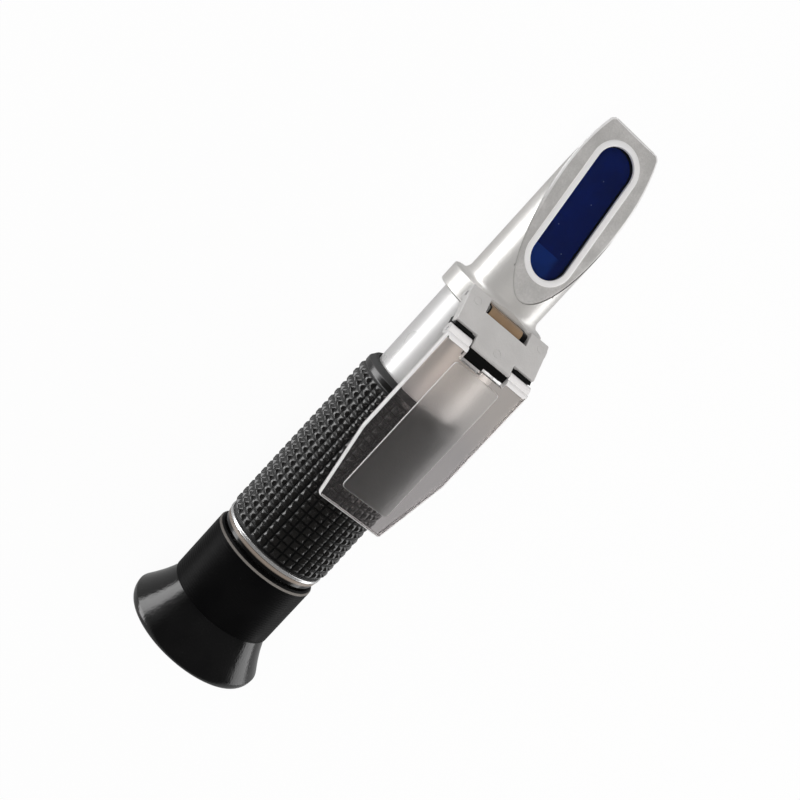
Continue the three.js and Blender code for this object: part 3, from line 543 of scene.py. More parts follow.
def group_tree(
    name: str, kind: str, inputs: dict[str, tuple[str, Any]], outputs: dict[str, str]
) -> tuple[Sheet, Node, Node]:
    """Start a node group with named inputs and outputs.

    Args:
        name: The group's name.
        kind: The type of its tree.
        inputs: Socket type and first value of each input.
        outputs: Socket type of each output.

    Returns:
        The sheet to fill, and the group's input and output nodes.
    """
    tree = bpy.data.node_groups.new(name, kind)
    sheet = Sheet(tree)
    for label, (socket, value) in inputs.items():
        made = tree.interface.new_socket(name=label, in_out="INPUT", socket_type=socket)
        if value is not None:
            made.default_value = value
    for label, socket in outputs.items():
        tree.interface.new_socket(name=label, in_out="OUTPUT", socket_type=socket)
    return sheet, sheet.add("NodeGroupInput"), sheet.add("NodeGroupOutput")


class Effects:
    """The surface effects that several finishes share, one node group each."""

    def __init__(self) -> None:
        """Build every group once."""
        self.clouds = self._noise("Clouds", detail=3)
        self.grain = self._noise("Grain", detail=2)
        self.streaks = self._streaks()

    def _noise(self, name: str, detail: float) -> bpy.types.NodeTree:
        """Build a group that gives an even noise whose features have a size in millimetres.

        Args:
            name: The group's name.
            detail: How many finer layers of noise it adds.

        Returns:
            The group.
        """
        numbers = {"Place": ("NodeSocketVector", None), "Size": ("NodeSocketFloat", 1.0)}
        sheet, source, result = group_tree(name, "ShaderNodeTree", numbers, {"Mask": "NodeSocketFloat"})
        scale = sheet.math("DIVIDE", 1 / MM, source.outputs["Size"])
        noise = sheet.add(
            "ShaderNodeTexNoise", None, {"Vector": source.outputs["Place"], "Scale": scale, "Detail": detail}
        )
        mask = sheet.ramp(noise.outputs[0], 0.28, 0.72)
        sheet.tree.links.new(mask, result.inputs["Mask"])
        return sheet.tree

    def _streaks(self) -> bpy.types.NodeTree:
        """Build a group that gives fine marks, drawn out by a stretch in millimetres on each axis.

        Returns:
            The group.
        """
        numbers = {"Place": ("NodeSocketVector", None), "Stretch": ("NodeSocketVector", (1, 1, 1))}
        sheet, source, result = group_tree("Streaks", "ShaderNodeTree", numbers, {"Mask": "NodeSocketFloat"})
        wide = sheet.vector("SCALE", source.outputs["Place"])
        wide.inputs["Scale"].default_value = 1 / MM
        place = sheet.vector("DIVIDE", wide.outputs[0], source.outputs["Stretch"]).outputs[0]
        noise = sheet.add("ShaderNodeTexNoise", None, {"Vector": place, "Scale": 1, "Detail": 3})
        sheet.tree.links.new(sheet.ramp(noise.outputs[0], 0.3, 0.7), result.inputs["Mask"])
        return sheet.tree


# Finishes


@dataclass
class Surface:
    """The sockets that a material is built up from, with its height in millimetres."""

    sheet: Sheet
    place: Socket
    colour: Socket
    roughness: Socket
    height: Socket

    def depth(self, origin: Vector, direction: Vector) -> Socket:
        """Measure how far a point lies from an origin along a direction.

        Args:
            origin: The origin, in millimetres.
            direction: The direction, of length 1.

        Returns:
            The distance in millimetres.
        """
        offset = self.sheet.vector("SUBTRACT", self.place, tuple(origin * MM)).outputs[0]
        metres = self.sheet.vector("DOT_PRODUCT", offset, tuple(direction)).outputs["Value"]
        return self.sheet.math("DIVIDE", metres, MM)

    def blend(self, share: Socket, colour: Colour, roughness: float | None = None) -> None:
        """Blend in another colour and, where one is given, another roughness.

        Args:
            share: The share of the other values.
            colour: The other colour.
            roughness: The other roughness.
        """
        self.colour = self.sheet.blend(share, self.colour, colour)
        if roughness is not None:
            self.roughness = self.sheet.blend(share, self.roughness, roughness, colours=False)

    def hypotenuse(self, first: Socket, second: Socket) -> Socket:
        """Return the length of the hypotenuse over two lengths."""
        squares = [self.sheet.math("MULTIPLY", side, side) for side in (first, second)]
        return self.sheet.math("SQRT", self.sheet.math("ADD", *squares))


@dataclass(frozen=True)
class Finish:
    """A material of the instrument, with what varies over its surface."""

    name: str
    slot: str
    colour: Colour
    cloud_colour: Colour
    roughness: float
    cloud_size: float = 14.0
    roughness_spread: float = 0.04
    metallic: float = 0.0
    specular: float = 0.5
    coat: float = 0.0
    transmission: float = 0.0
    ior: float = 1.5
    grain_size: float = 0.4
    grain_height: float = 0.0
    grain_share: float = 0.0
    streak_stretch: tuple[float, float, float] = (1.0, 1.0, 1.0)
    streak_height: float = 0.0

    def material(self, effects: Effects) -> bpy.types.Material:
        """Build the finish as a material, or return it where it exists.

        Args:
            effects: The shared surface effects.

        Returns:
            The material.
        """
        made = bpy.data.materials.get(self.name)
        if made:
            return made
        made = bpy.data.materials.new(self.name)
        made.use_nodes = True
        sheet = Sheet(made.node_tree)
        place = sheet.add("ShaderNodeTexCoord").outputs["Object"]
        clouds = self.effect(sheet, effects.clouds, {"Place": place, "Size": self.cloud_size})
        grain = self.effect(sheet, effects.grain, {"Place": place, "Size": self.grain_size})
        colour = sheet.blend(clouds, self.colour, self.cloud_colour)
        if self.grain_share:
            darker = tuple(part * (1 - self.grain_share) for part in self.colour)
            colour = sheet.blend(sheet.math("MULTIPLY", grain, self.grain_share), colour, darker)
        spread = self.roughness_spread
        roughness = sheet.ramp(clouds, 0, 1, self.roughness - spread, self.roughness + spread)
        height = sheet.math("MULTIPLY", grain, self.grain_height)
        if self.streak_height:
            streaks = self.effect(sheet, effects.streaks, {"Place": place, "Stretch": self.streak_stretch})
            height = sheet.math("ADD", height, sheet.math("MULTIPLY", streaks, self.streak_height))
        surface = Surface(sheet, place, colour, roughness, height)
        self.local(surface)
        bump = sheet.add("ShaderNodeBump", None, {"Height": surface.height, "Distance": MM, "Strength": 1.0})
        values = {
            "Base Color": surface.colour,
            "Roughness": surface.roughness,
            "Normal": bump.outputs[0],
            "Metallic": self.metallic,
            "IOR": self.ior,
            "Specular IOR Level": self.specular,
            "Coat Weight": self.coat,
            "Transmission Weight": self.transmission,
        }
        shader = sheet.add("ShaderNodeBsdfPrincipled", None, values)
        sheet.add("ShaderNodeOutputMaterial", None, {"Surface": shader.outputs[0]})
        return made

    def effect(self, sheet: Sheet, tree: bpy.types.NodeTree, values: dict[str, Any]) -> Socket:
        """Place a shared effect with this finish's own values.

        Args:
            sheet: The material's sheet.
            tree: The effect's node group.
            values: Values or sockets for its inputs.

        Returns:
            The effect's mask.
        """
        return sheet.add("ShaderNodeGroup", {"node_tree": tree}, values).outputs["Mask"]

    def local(self, surface: Surface) -> None:
        """Change the finish where the piece differs from place to place; a plain finish leaves it."""


@dataclass(frozen=True)
class FaceFinish(Finish):
    """The blasted face plate, whose bead is smoother and carries a painted sheen, and whose rim carries a
    painted highlight towards the tip.
    """

    painted_sheen_colour: Colour = (0.8, 0.8, 0.8)
    bead_roughness: float = 0.3
    bead_heights: Point2 = (0.02, 0.12)
    rim_heights: Point2 = (-0.004, -0.04)
    rim_highlight_runs: Point2 = (32.0, 16.0)

    def local(self, surface: Surface) -> None:
        """Smooth the bead above the plate and paint sheen on it, and paint a highlight on the rounded rim
        below it towards the tip.

        Args:
            surface: The material's sockets, which are changed.
        """
        head, sheet = PrismHead(), surface.sheet
        rise = surface.depth(head.face_origin, head.face_normal)
        run = surface.depth(head.face_origin, -head.face_run)
        # Painted highlight on the rim near the tip and painted sheen on the bead: the lighter colour stands
        # in for light, the lower roughness is the bead's polish.
        rim = sheet.math("MULTIPLY", sheet.ramp(rise, *self.rim_heights), sheet.ramp(run, *self.rim_highlight_runs))
        bead = sheet.math("MAXIMUM", sheet.ramp(rise, *self.bead_heights), rim)
        surface.blend(bead, self.painted_sheen_colour, self.bead_roughness)
        surface.height = sheet.math("MULTIPLY", surface.height, sheet.math("SUBTRACT", 1, bead))


@dataclass(frozen=True)
class BackingFinish(Finish):
    """The dark blue backing under the prism's window, with painted light on the segment past a line at its
    rear, fading towards the right into painted shade.
    """

    rear_light_colour: Colour = (0.01, 0.04, 0.18)
    line_runs: Point2 = (33.5, 33.62)
    rear_light_fade: Point2 = (-3.0, -1.4)
    specks: tuple[Point2, ...] = ((12.7, -0.3), (18.8, -1.2), (27.2, 2.6), (32.1, -2.2))
    speck_edge: Point2 = (0.2, 0.06)
    speck_colour: Colour = (0.25, 0.33, 0.6)

    def local(self, surface: Surface) -> None:
        """Paint light on the rear segment and place the specks.

        Args:
            surface: The material's sockets, which are changed.
        """
        head, sheet = PrismHead(), surface.sheet
        run = surface.depth(head.face_origin, -head.face_run)
        y = surface.depth(Vector(), Vector((0, 1, 0)))
        # Painted light: the rear segment is lighter blue, and fades out towards the right side wall as
        # painted shade.
        rear = sheet.math("MULTIPLY", sheet.ramp(run, *self.line_runs), sheet.ramp(y, *self.rear_light_fade))
        surface.blend(rear, self.rear_light_colour)
        for speck_run, speck_y in self.specks:
            offsets = (sheet.math("SUBTRACT", run, speck_run), sheet.math("SUBTRACT", y, speck_y))
            surface.blend(sheet.ramp(surface.hypotenuse(*offsets), *self.speck_edge), self.speck_colour)


@dataclass(frozen=True)
class PlateFinish(Finish):
    """Clear plastic with a painted warm reflection in its tint next to the hinge."""

    hinge_reflection_colour: Colour = (0.8, 0.7, 0.62)
    reflection_places: Point2 = (22.0, 38.0)

    def local(self, surface: Surface) -> None:
        """Paint a warm, lighter reflection into the tint towards the hinge."""
        x = surface.depth(Vector(), Vector((1, 0, 0)))
        # Painted reflection: the tint turns warmer and lighter towards the hinge.
        surface.blend(surface.sheet.ramp(x, *self.reflection_places), self.hinge_reflection_colour)


@dataclass(frozen=True)
class EdgedFinish(Finish):
    """A black ring with a painted highlight in a band at its front edge."""

    band_start: float = 0.0
    band_end: float = 1.0
    band_blur: float = 0.15
    highlight_colour: Colour = (0.2, 0.2, 0.2)
    band_roughness: float = 0.35

    def local(self, surface: Surface) -> None:
        """Paint a highlight on the front edge.

        Args:
            surface: The material's sockets, which are changed.
        """
        station = surface.depth(Vector((TIP_X, 0, 0)), Vector((-1, 0, 0)))
        front = surface.sheet.ramp(station, self.band_start - self.band_blur, self.band_start)
        rear = surface.sheet.ramp(station, self.band_end + self.band_blur, self.band_end)
        # Painted highlight: the front band takes a lighter colour, along with its own roughness.
        surface.blend(surface.sheet.math("MULTIPLY", front, rear), self.highlight_colour, self.band_roughness)


@dataclass(frozen=True)
class StudFinish(Finish):
    """Rubber whose raised studs are rubbed smooth, over dull gaps darkened with painted shade."""

    gap_shade_colour: Colour = (0.001, 0.001, 0.001)
    gap_roughness: float = 0.75
    stud_heights: Point2 = (0.48, 0.15)

    def local(self, surface: Surface) -> None:
        """Dull the gaps between the studs and darken them with painted shade.

        Args:
            surface: The material's sockets, which are changed.
        """
        grip, sheet = Grip(), surface.sheet
        rear = grip.front + grip.length
        back = surface.depth(Vector((along(grip.front), 0, 0)), Vector((-1, 0, 0)))
        share = sheet.math("DIVIDE", back, grip.length)
        valley = sheet.blend(share, grip.valley(grip.front), grip.valley(rear), colours=False)
        sides = [surface.depth(Vector(), Vector(axis)) for axis in ((0, 1, 0), (0, 0, 1))]
        rise = sheet.math("SUBTRACT", surface.hypotenuse(*sides), valley)
        gap = sheet.ramp(rise, *(share_of_rise * grip.rise for share_of_rise in self.stud_heights))
        # Painted shade: the gaps are darker than the rubber; their higher roughness is the real dull surface.
        surface.blend(gap, self.gap_shade_colour, self.gap_roughness)


AROUND = (0.25, 40.0, 40.0)
LENGTHWISE = (60.0, 0.5, 0.5)

CASTING = Finish(
    "Silver casting", "cast_body", (0.80, 0.79, 0.77), (0.74, 0.73, 0.71), 0.34, metallic=0.42,
    grain_size=0.5, grain_height=0.012,
)
# The bead's and tip rim's lighter colour is painted sheen and painted highlight.
FACE_PLATE = FaceFinish(
    "Blasted face plate", "face_plate", (0.62, 0.61, 0.60), (0.50, 0.495, 0.485), 0.5, cloud_size=5.0,
    metallic=0.1, grain_size=0.5, grain_height=0.06, grain_share=0.34, painted_sheen_colour=(0.92, 0.92, 0.92),
)
TUBE = Finish(
    "Bright tube", "bright_tube", (0.87, 0.87, 0.87), (0.84, 0.84, 0.84), 0.3, metallic=0.22,
    streak_stretch=AROUND, streak_height=0.0015,
)
TRIM = Finish(
    "Polished trim", "bright_trim", (0.88, 0.88, 0.88), (0.84, 0.84, 0.85), 0.24, metallic=0.75,
    streak_stretch=AROUND, streak_height=0.0004,
)
INNER_METAL = Finish(
    "Blackened metal", "inner_metal", (0.03, 0.03, 0.032), (0.022, 0.022, 0.024), 0.6, metallic=0.5,
    grain_size=0.3, grain_height=0.01,
)
STEEL = Finish(
    "Bright steel", "steel_screw", (0.62, 0.62, 0.63), (0.54, 0.54, 0.55), 0.28, metallic=0.95,
    cloud_size=2.0, grain_size=0.15, grain_height=0.004,
)
BRONZE = Finish(
    "Rolled bronze", "bronze", (0.36, 0.245, 0.145), (0.30, 0.20, 0.12), 0.45, metallic=0.2, cloud_size=4.0,
    streak_stretch=(0.4, 30.0, 0.4), streak_height=0.004,
)
# The gaps between this rubber's studs carry painted shade.
GRIP_RUBBER = StudFinish(
    "Moulded grip rubber", "grip_rubber", (0.009, 0.0083, 0.0076), (0.006, 0.0055, 0.005), 0.22,
    roughness_spread=0.05, cloud_size=7.0, specular=0.75, grain_size=0.2, grain_height=0.006,
)
SEAL_RUBBER = Finish(
    "Seal rubber", "seal_rubber", (0.006, 0.006, 0.006), (0.009, 0.009, 0.009), 0.6, specular=0.2,
    grain_size=0.3, grain_height=0.008,
)
CUP_RUBBER = Finish(
    "Smooth cup rubber", "cup_rubber", (0.003, 0.003, 0.0032), (0.005, 0.005, 0.0052), 0.15, specular=0.55,
    roughness_spread=0.04, cloud_size=9.0, streak_stretch=LENGTHWISE, streak_height=0.012,
)
# Both black rings carry a painted highlight, a lighter band at their front edge.
RING_BLACK = EdgedFinish(
    "Black focus ring", "ring_black", (0.003, 0.003, 0.0032), (0.005, 0.005, 0.0052), 0.4, specular=0.04,
    grain_size=0.3, grain_height=0.004, band_start=131.95, band_end=132.3, highlight_colour=(0.22, 0.205, 0.19),
)
GLOSS_BLACK = EdgedFinish(
    "Gloss black", "gloss_black", (0.003, 0.003, 0.003), (0.005, 0.005, 0.005), 0.16, specular=0.4,
    streak_stretch=AROUND, streak_height=0.002, band_start=128.0, band_end=129.4, band_blur=0.5,
    highlight_colour=(0.3, 0.25, 0.21),
)
INSERT_BLACK = Finish(
    "Moulded black", "insert_black", (0.003, 0.003, 0.003), (0.005, 0.005, 0.005), 0.45, specular=0.2,
    grain_size=0.25, grain_height=0.01,
)
ARM_PLASTIC = Finish(
    "Light grey arm", "arm_plastic", (0.70, 0.69, 0.68), (0.63, 0.62, 0.61), 0.45, cloud_size=6.0,
    metallic=0.15, grain_size=0.5, grain_height=0.02, grain_share=0.16,
)
PRISM_GLASS = Finish(
    "Prism glass", "prism_glass", (0.62, 0.76, 1.0), (0.58, 0.73, 1.0), 0.03, roughness_spread=0.01,
    specular=0.3, transmission=1.0, ior=1.52,
)
# The backing's lighter rear segment is painted light.
PRISM_BACKING = BackingFinish(
    "Prism backing", "prism_glass", (0.005, 0.032, 0.25), (0.004, 0.026, 0.205), 0.4, cloud_size=8.0,
    specular=0.2, rear_light_colour=(0.015, 0.08, 0.40),
)
LENS_GLASS = Finish(
    "Coated lens glass", "lens_glass", (0.94, 0.97, 1.0), (0.9, 0.95, 1.0), 0.02, roughness_spread=0.01,
    transmission=1.0, ior=1.52, coat=0.3,
)
# Both plate finishes paint a warm, lighter reflection towards the hinge.
CLEAR_PLASTIC = PlateFinish(
    "Clear plate", "clear_plastic", (0.84, 0.80, 0.80), (0.81, 0.775, 0.775), 0.04, roughness_spread=0.015,
    transmission=0.98, ior=1.49, hinge_reflection_colour=(0.93, 0.865, 0.82),
)
PAD_PLASTIC = PlateFinish(
    "Hazy pad", "clear_plastic", (0.68, 0.66, 0.65), (0.60, 0.585, 0.575), 0.34, roughness_spread=0.04,
    cloud_size=9.0, transmission=0.95, ior=1.49, grain_size=0.35, grain_height=0.015,
    hinge_reflection_colour=(0.95, 0.91, 0.87),
)
# White milled edges, and on the hinge lobes a painted highlight.
EDGE_AND_LOBE_HIGHLIGHT = Finish(
    "Milled edge and painted lobe highlight", "clear_plastic", (0.98, 0.97, 0.97), (0.95, 0.94, 0.94), 0.35, coat=0.6,
    transmission=0.04, ior=1.49, streak_stretch=(0.3, 0.3, 20.0), streak_height=0.002,
)


class Workshop:
    """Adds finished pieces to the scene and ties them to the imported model."""

    def __init__(self, frame: dict[str, Any]) -> None:
        """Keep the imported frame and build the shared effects."""
        self.nodes: dict[str, bpy.types.Object] = frame["nodes"]
        self.effects = Effects()

    def add(
        self,
        node: str,
        mesh: Mesh,
        finish: Finish,
        body: Body,
        *more: Finish,
        name: str = "",
        smooth: float = 32,
    ) -> None:
        """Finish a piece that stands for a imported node.

        Args:
            node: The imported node's name.
            mesh: The piece's mesh, in millimetres.
            finish: The piece's finish.
            body: The body that it moves with.
            *more: Further finishes that faces of the mesh name by number.
            name: The piece's name, where it isn't the node's.
            smooth: Edges that turn by more than this stay sharp.
        """
        mesh.transform(Matrix.Scale(MM, 4))
        mesh.shade_smooth()
        mesh.set_sharp_from_angle(angle=math.radians(smooth))
        mesh = shaped(mesh, "WEIGHTED_NORMAL", keep_sharp=True)
        numbers = [face.material_index for face in mesh.polygons]
        mesh.materials.clear()
        for each in (finish, *more):
            mesh.materials.append(each.material(self.effects))
        mesh.polygons.foreach_set("material_index", numbers)
        piece = placed(f"{name or node}_dressed", mesh)
        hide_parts(node)
        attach(piece, body.value)
        log.info("%s: %d faces on %s", piece.name, len(mesh.polygons), body.value)

    def paint(self, finish: Finish, *nodes: str) -> None:
        """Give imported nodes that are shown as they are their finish.

        Args:
            finish: The finish.
            *nodes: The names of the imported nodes.
        """
        for name in nodes:
            for slot in self.nodes[name].material_slots:
                slot.material = finish.material(self.effects)
            log.info("%s: kept, in %s", name, finish.name)


# The instrument


@dataclass(frozen=True)
class PrismHead:
    """The casting with the slanted face, its bezel, the prism and their seal."""

    radius: float = 10.3
    nose_radius: float = 9.1
    nose_taper: float = 17.0
    nose_bevel: float = 0.5
    slope: float = 19.2
    tip_height: float = -5.2
    collar: float = 48.3
    collar_length: float = 5.0
    collar_radius: float = 13.4
    collar_flat: float = 10.425
    lip_rise: float = 0.4
    fillet: float = 2.2
    spigot_length: float = 7.0
    spigot_radius: float = 9.5
    light_radius: float = 8.5
    light_front: float = 43.5
    window_front: float = 9.4
    window_run: float = 25.6
    window_half: float = 5.05
    bezel_thickness: float = 0.8
    bead_width: float = 1.5
    bead_rise: float = 0.35
    bead_foot: float = 0.14
    rim_shape: tuple[Point2, ...] = ((0, 0.62), (-0.05, 0.42), (-0.15, 0.2), (-0.28, 0.06), (-0.42, 0))
    glass_drop: float = 0.3
    glass_depth: float = 2.3
    glass_bevel: float = 0.08
    backing_drop: float = 1.5
    skirt: Point2 = (-0.14, 0.24)
    flange_reach: float = 0.9
    flange_thickness: float = 0.5
    wedge_half: float = 5.9
    wedge_floor: float = -6.6
    pocket_gap: float = 0.3
    channel_front: float = 38.2
    channel_top: float = 6.5
    gap: float = 0.1
    pin_hole: float = 0.62
    lug_half: float = 5.7
    lug_radius: float = 1.1
    spring_radius: float = 1.45
    spring_thickness: float = 0.25
    arm_gap: float = 0.3
    seal_setback: float = 2.5
    seal_depth: float = 0.62
    ray_steps: int = 28

    @property
    def face_origin(self) -> Vector:
        """The middle of the slanted face's tip edge."""
        return Vector((TIP_X, 0, self.tip_height))

    @property
    def face_normal(self) -> Vector:
        """The direction that the slanted face looks to."""
        return Vector((math.sin(math.radians(self.slope)), 0, math.cos(math.radians(self.slope))))

    @property
    def face_run(self) -> Vector:
        """The direction up the slanted face's length, towards the tip."""
        return Vector((math.cos(math.radians(self.slope)), 0, -math.sin(math.radians(self.slope))))

    def on_face(self, run: float, y: float, height: float) -> Vector:
        """Return a point given along, across and above the slanted face."""
        return self.face_origin + self.face_run * run + Vector((0, y, 0)) + self.face_normal * height

    def radius_at(self, station: float) -> float:
        """Return the nose's radius at a station.

        Args:
            station: The station.

        Returns:
            The radius.
        """
        share = max(0.0, 1 - station / self.nose_taper)
        eased = self.radius - (self.radius - self.nose_radius) * share * share
        return min(eased, self.nose_radius - self.nose_bevel + max(station, 0))

    def profile(self) -> list[Point2]:
        """Return the head's outer profile from the tip to the collar's rear.

        Returns:
            The profile as (station, radius).
        """
        points = [(0.0, 0.0), (0.0, self.nose_radius - self.nose_bevel)]
        points += [(s, self.radius_at(s)) for s in (0.15, 0.35, 0.5)]
        points += [(0.5 + 16.5 * i / 16, self.radius_at(0.5 + 16.5 * i / 16)) for i in range(1, 17)]
        front = self.collar - self.fillet
        for i in range(13):
            turn = math.pi / 2 * i / 12
            lift = self.fillet * (1 - math.cos(turn))
            points.append((front + self.fillet * math.sin(turn), self.radius + lift))
        rear = self.collar + self.collar_length
        rim = [
            (self.collar, self.radius + self.fillet),
            (self.collar, self.collar_radius, 0.35),
            (rear, self.collar_radius, 0.35),
            (rear, self.spigot_radius),
        ]
        return points + filleted(rim, closed=False)[1:-1]

    def rays(self) -> list[tuple[float, float]]:
        """Return the rays that cross the bezel outwards.

        Returns:
            The rays as (run of the start, angle).
        """
        corner_half = math.sqrt((self.nose_radius - self.nose_bevel) ** 2 - self.tip_height**2)
        corner = math.atan2(corner_half, self.window_front)
        quarter = math.pi / 2
        even = {quarter * i / self.ray_steps for i in range(-self.ray_steps, self.ray_steps)}
        turns = sorted(even | {corner, -corner})
        rear = -self.window_front - self.window_run
        fine = 2 * self.ray_steps
        left = [(-self.window_front - self.window_run * i / fine, quarter) for i in range(fine)]
        end = [(rear, quarter + math.pi * i / fine) for i in range(fine)]
        right = [(rear + self.window_run * i / fine, -quarter) for i in range(fine)]
        return [(-self.window_front, turn) for turn in turns] + left + end + right

    def reach(self, start: float, turn: float, depth: float) -> float:
        """Find how far a ray on the slanted face runs before it leaves the nose.

        Args:
            start: The run of its start.
            turn: Its angle.
            depth: How far below the face it lies.

        Returns:
            The length of the ray.
        """
        low, high = 0.0, 60.0
        for _ in range(40):
            middle = (low + high) / 2
            point = self.on_face(start + middle * math.cos(turn), middle * math.sin(turn), -depth)
            station = TIP_X - point.x
            if station >= 0 and math.hypot(point.y, point.z) <= self.radius_at(station):
                low = middle
            else:
                high = middle
        return low

    def ring(self, height: float, length: Callable[[float, float], float]) -> list[Vector]:
        """Return a loop of points around the window, given the length of each ray.

        Args:
            height: The loop's height over the face.
            length: Gives a ray's length from the run of its start and its angle.

        Returns:
            The loop.
        """
        loop = []
        for start, turn in self.rays():
            along_ray = length(start, turn)
            loop.append(self.on_face(start + along_ray * math.cos(turn), along_ray * math.sin(turn), height))
        return loop

    def window(self, growth: float, height: float) -> list[Vector]:
        """Return the window's outline, grown by an amount, at a height over the face."""
        return self.ring(height, lambda start, turn: self.window_half + growth)

    def bezel(self) -> Mesh:
        """Build the slanted plate with its bead and rounded rim.

        Returns:
            The piece's mesh.
        """
        width, rise, floor = self.bead_width, self.bead_rise, -self.bezel_thickness
        turns = [math.pi * i / 12 for i in range(1, 12)]
        arch = [(width * (1 - math.cos(t)) / 2, rise * math.sin(t) ** 0.8) for t in turns]
        section = [(0, floor), (0, -0.05), *arch, (width + 0.02, 0.03), (width + self.bead_foot, 0)]
        loops = [self.window(growth, height) for growth, height in section]
        inner = self.window_half + width + self.bead_foot
        edge = [self.reach(start, turn, 0) for start, turn in self.rays()]
        lower = [self.reach(start, turn, self.bezel_thickness) for start, turn in self.rays()]

        def rim(height: float, back: float, share: float = 1.0, deep: bool = False) -> list[Vector]:
            """Return the loop that lies a length back from the plate's edge."""
            lengths = iter(min(a, b) if deep else a for a, b in zip(edge, lower))
            return self.ring(height, lambda start, turn: inner + (next(lengths) - back - inner) * share)

        loops += [rim(*self.rim_shape[0], share) for share in (0.35, 0.7)]
        loops += [rim(height, back) for height, back in self.rim_shape]
        loops.append(rim(floor, 0, deep=True))
        return lofted(*loops, ring=True)

    def plan(self, growth: float, height: float) -> list[Vector]:
        """Return the slanted face's outline, grown by an amount and open past the tip.

        Args:
            growth: How far the outline grows.
            height: Its height over the face.

        Returns:
            The outline.
        """
        loop = []
        for start, turn in self.rays():
            length = self.reach(start, turn, 0) + growth
            run = start + length * math.cos(turn)
            loop.append(self.on_face(run + (1.5 if run > -0.2 else 0), length * math.sin(turn), height))
        return loop

    def wedge(self, clearance: float, drop: float) -> list[Point2]:
        """Return the prism's side outline.

        Args:
            clearance: How far the outline grows.
            drop: How far its top lies under the face.

        Returns:
            The outline as (x, z).
        """
        slope = math.radians(self.slope)
        front = (self.window_front - self.wedge_half) * math.cos(slope) - clearance
        rear = (self.window_front + self.window_run + self.wedge_half) * math.cos(slope)
        rear += self.backing_drop * math.sin(slope)
        rear += clearance
        floor = self.wedge_floor - clearance

        def top(station: float) -> float:
            """Return the outline's upper height at a station."""
            return self.tip_height + station * math.tan(slope) - drop / math.cos(slope)

        upper = [(along(front), top(front)), (along(rear), top(rear))]
        return [(along(rear), floor), (along(front), floor), *upper]

    def lug(self) -> Mesh:
        """Build the hinge's lug on the collar with the ramp that stops the open arm.

        Returns:
            The lug's mesh.
        """
        x, z = ARM_PIN
        root = self.collar_flat - 0.3
        foot = [(x - self.lug_radius, root), (x + self.lug_radius, root)]
        lug = across([*foot, *half_circle(self.lug_radius, x, z)], self.lug_half)
        rear = along(self.collar + self.collar_length - 0.3)
        front = x - self.spring_radius - self.arm_gap
        tilt = math.radians(ARM_SLOPE)
        lift = (ARM_THICKNESS + self.arm_gap) / math.cos(tilt)

        def height(at: float) -> float:
            """Return how high the ramp may rise under the open arm."""
            return ARM_EDGE[1] + (ARM_EDGE[0] - at) * math.tan(tilt) - lift

        outline = [(rear, root), (front, root), (front, height(front)), (rear, height(rear))]
        ramp = across(outline, self.lug_half)
        hole = across(circle(self.pin_hole, x, z), self.lug_half + 1)
        return carved(carved(lug, Carve.JOIN, ramp), Carve.CUT, hole)

    def housing(self) -> Mesh:
        """Build the casting.

        Returns:
            The piece's mesh.
        """
        rear = self.collar + self.collar_length
        end = rear + self.spigot_length
        inside = [
            (rear, self.spigot_radius),
            *groove(rear + self.seal_setback, self.spigot_radius, self.seal_depth),
            (end, self.spigot_radius),
            (end, self.light_radius),
            (self.light_front, self.light_radius),
            (self.light_front, 0),
        ]
        casting = revolved(self.profile() + inside)
        far = 30.0
        square = ((far, -far), (-self.collar, -far), (-self.collar, far), (far, far))
        half_space = lofted(*([self.on_face(x, y, height) for x, y in square] for height in (0, far)))
        before_fillet = block((along(self.collar - self.fillet), -far, -far), (far + TIP_X, far, 2 * far))
        above_face = carved(half_space, Carve.COMMON, before_fillet)
        seat = lofted(self.plan(self.gap, -self.bezel_thickness - self.gap), self.plan(self.gap, 1))
        room = self.pocket_gap
        pocket = across(self.wedge(room, -0.2), self.wedge_half + room)
        low = (along(self.light_front + 1), -self.wedge_half - room, self.wedge_floor - room)
        light = block(low, (along(self.channel_front), self.wedge_half + room, self.channel_top))
        casting = carved(casting, Carve.CUT, above_face, seat, pocket, light)
        width, top = self.collar_radius + 1, 2 * self.collar_radius
        room_front = ARM_PIN[0] + self.spring_radius + self.arm_gap
        arm_room = block((along(rear + 0.5), -width, self.collar_flat), (room_front, width, top))
        spigot = self.spigot_radius
        kept = block((along(end), -spigot, 0), (along(rear), spigot, spigot))
        lip_corner = (ARM_PIN[0], -width, self.collar_flat + self.lip_rise)
        lip_room = block(lip_corner, (along(self.collar - self.fillet), width, top))
        screw = upright(circle(SET_SCREW_HOLE, along(SET_SCREW)), -spigot - 1, -spigot + 0.7)
        casting = carved(casting, Carve.CUT, carved(arm_room, Carve.CUT, kept), lip_room, screw)
        return carved(casting, Carve.JOIN, self.lug())

    def glass(self) -> Mesh:
        """Build the clear window of the prism.

        Returns:
            The piece's mesh.
        """
        drop, bottom, bevel = self.glass_drop, self.glass_drop + self.glass_depth, self.glass_bevel
        loops = [self.window(-self.gap, -bottom), self.window(-self.gap, -drop - bevel)]
        return lofted(*loops, self.window(-self.gap - bevel, -drop))

    def backing(self) -> Mesh:
        """Build the rest of the prism, whose dark top shows through the window.

        Returns:
            The piece's mesh.
        """
        body = across(self.wedge(0, self.backing_drop), self.wedge_half)
        floor = -self.glass_drop - self.glass_depth + 0.05
        room = lofted(self.window(0.26, floor), self.window(0.26, 1))
        return carved(body, Carve.CUT, room)

    def seal(self) -> Mesh:
        """Build the gasket, whose skirt is the dark wall around the window's glass.

        Returns:
            The piece's mesh.
        """
        floor = -self.glass_drop - self.glass_depth + 0.06
        top = -self.bezel_thickness - 0.02
        (inner, outer), reach, under = self.skirt, self.flange_reach, top - self.flange_thickness
        section = [(inner, floor), (outer, floor), (outer, under), (reach, under), (reach, top), (inner, top)]
        return lofted(*(self.window(growth, height) for growth, height in section), ring=True)

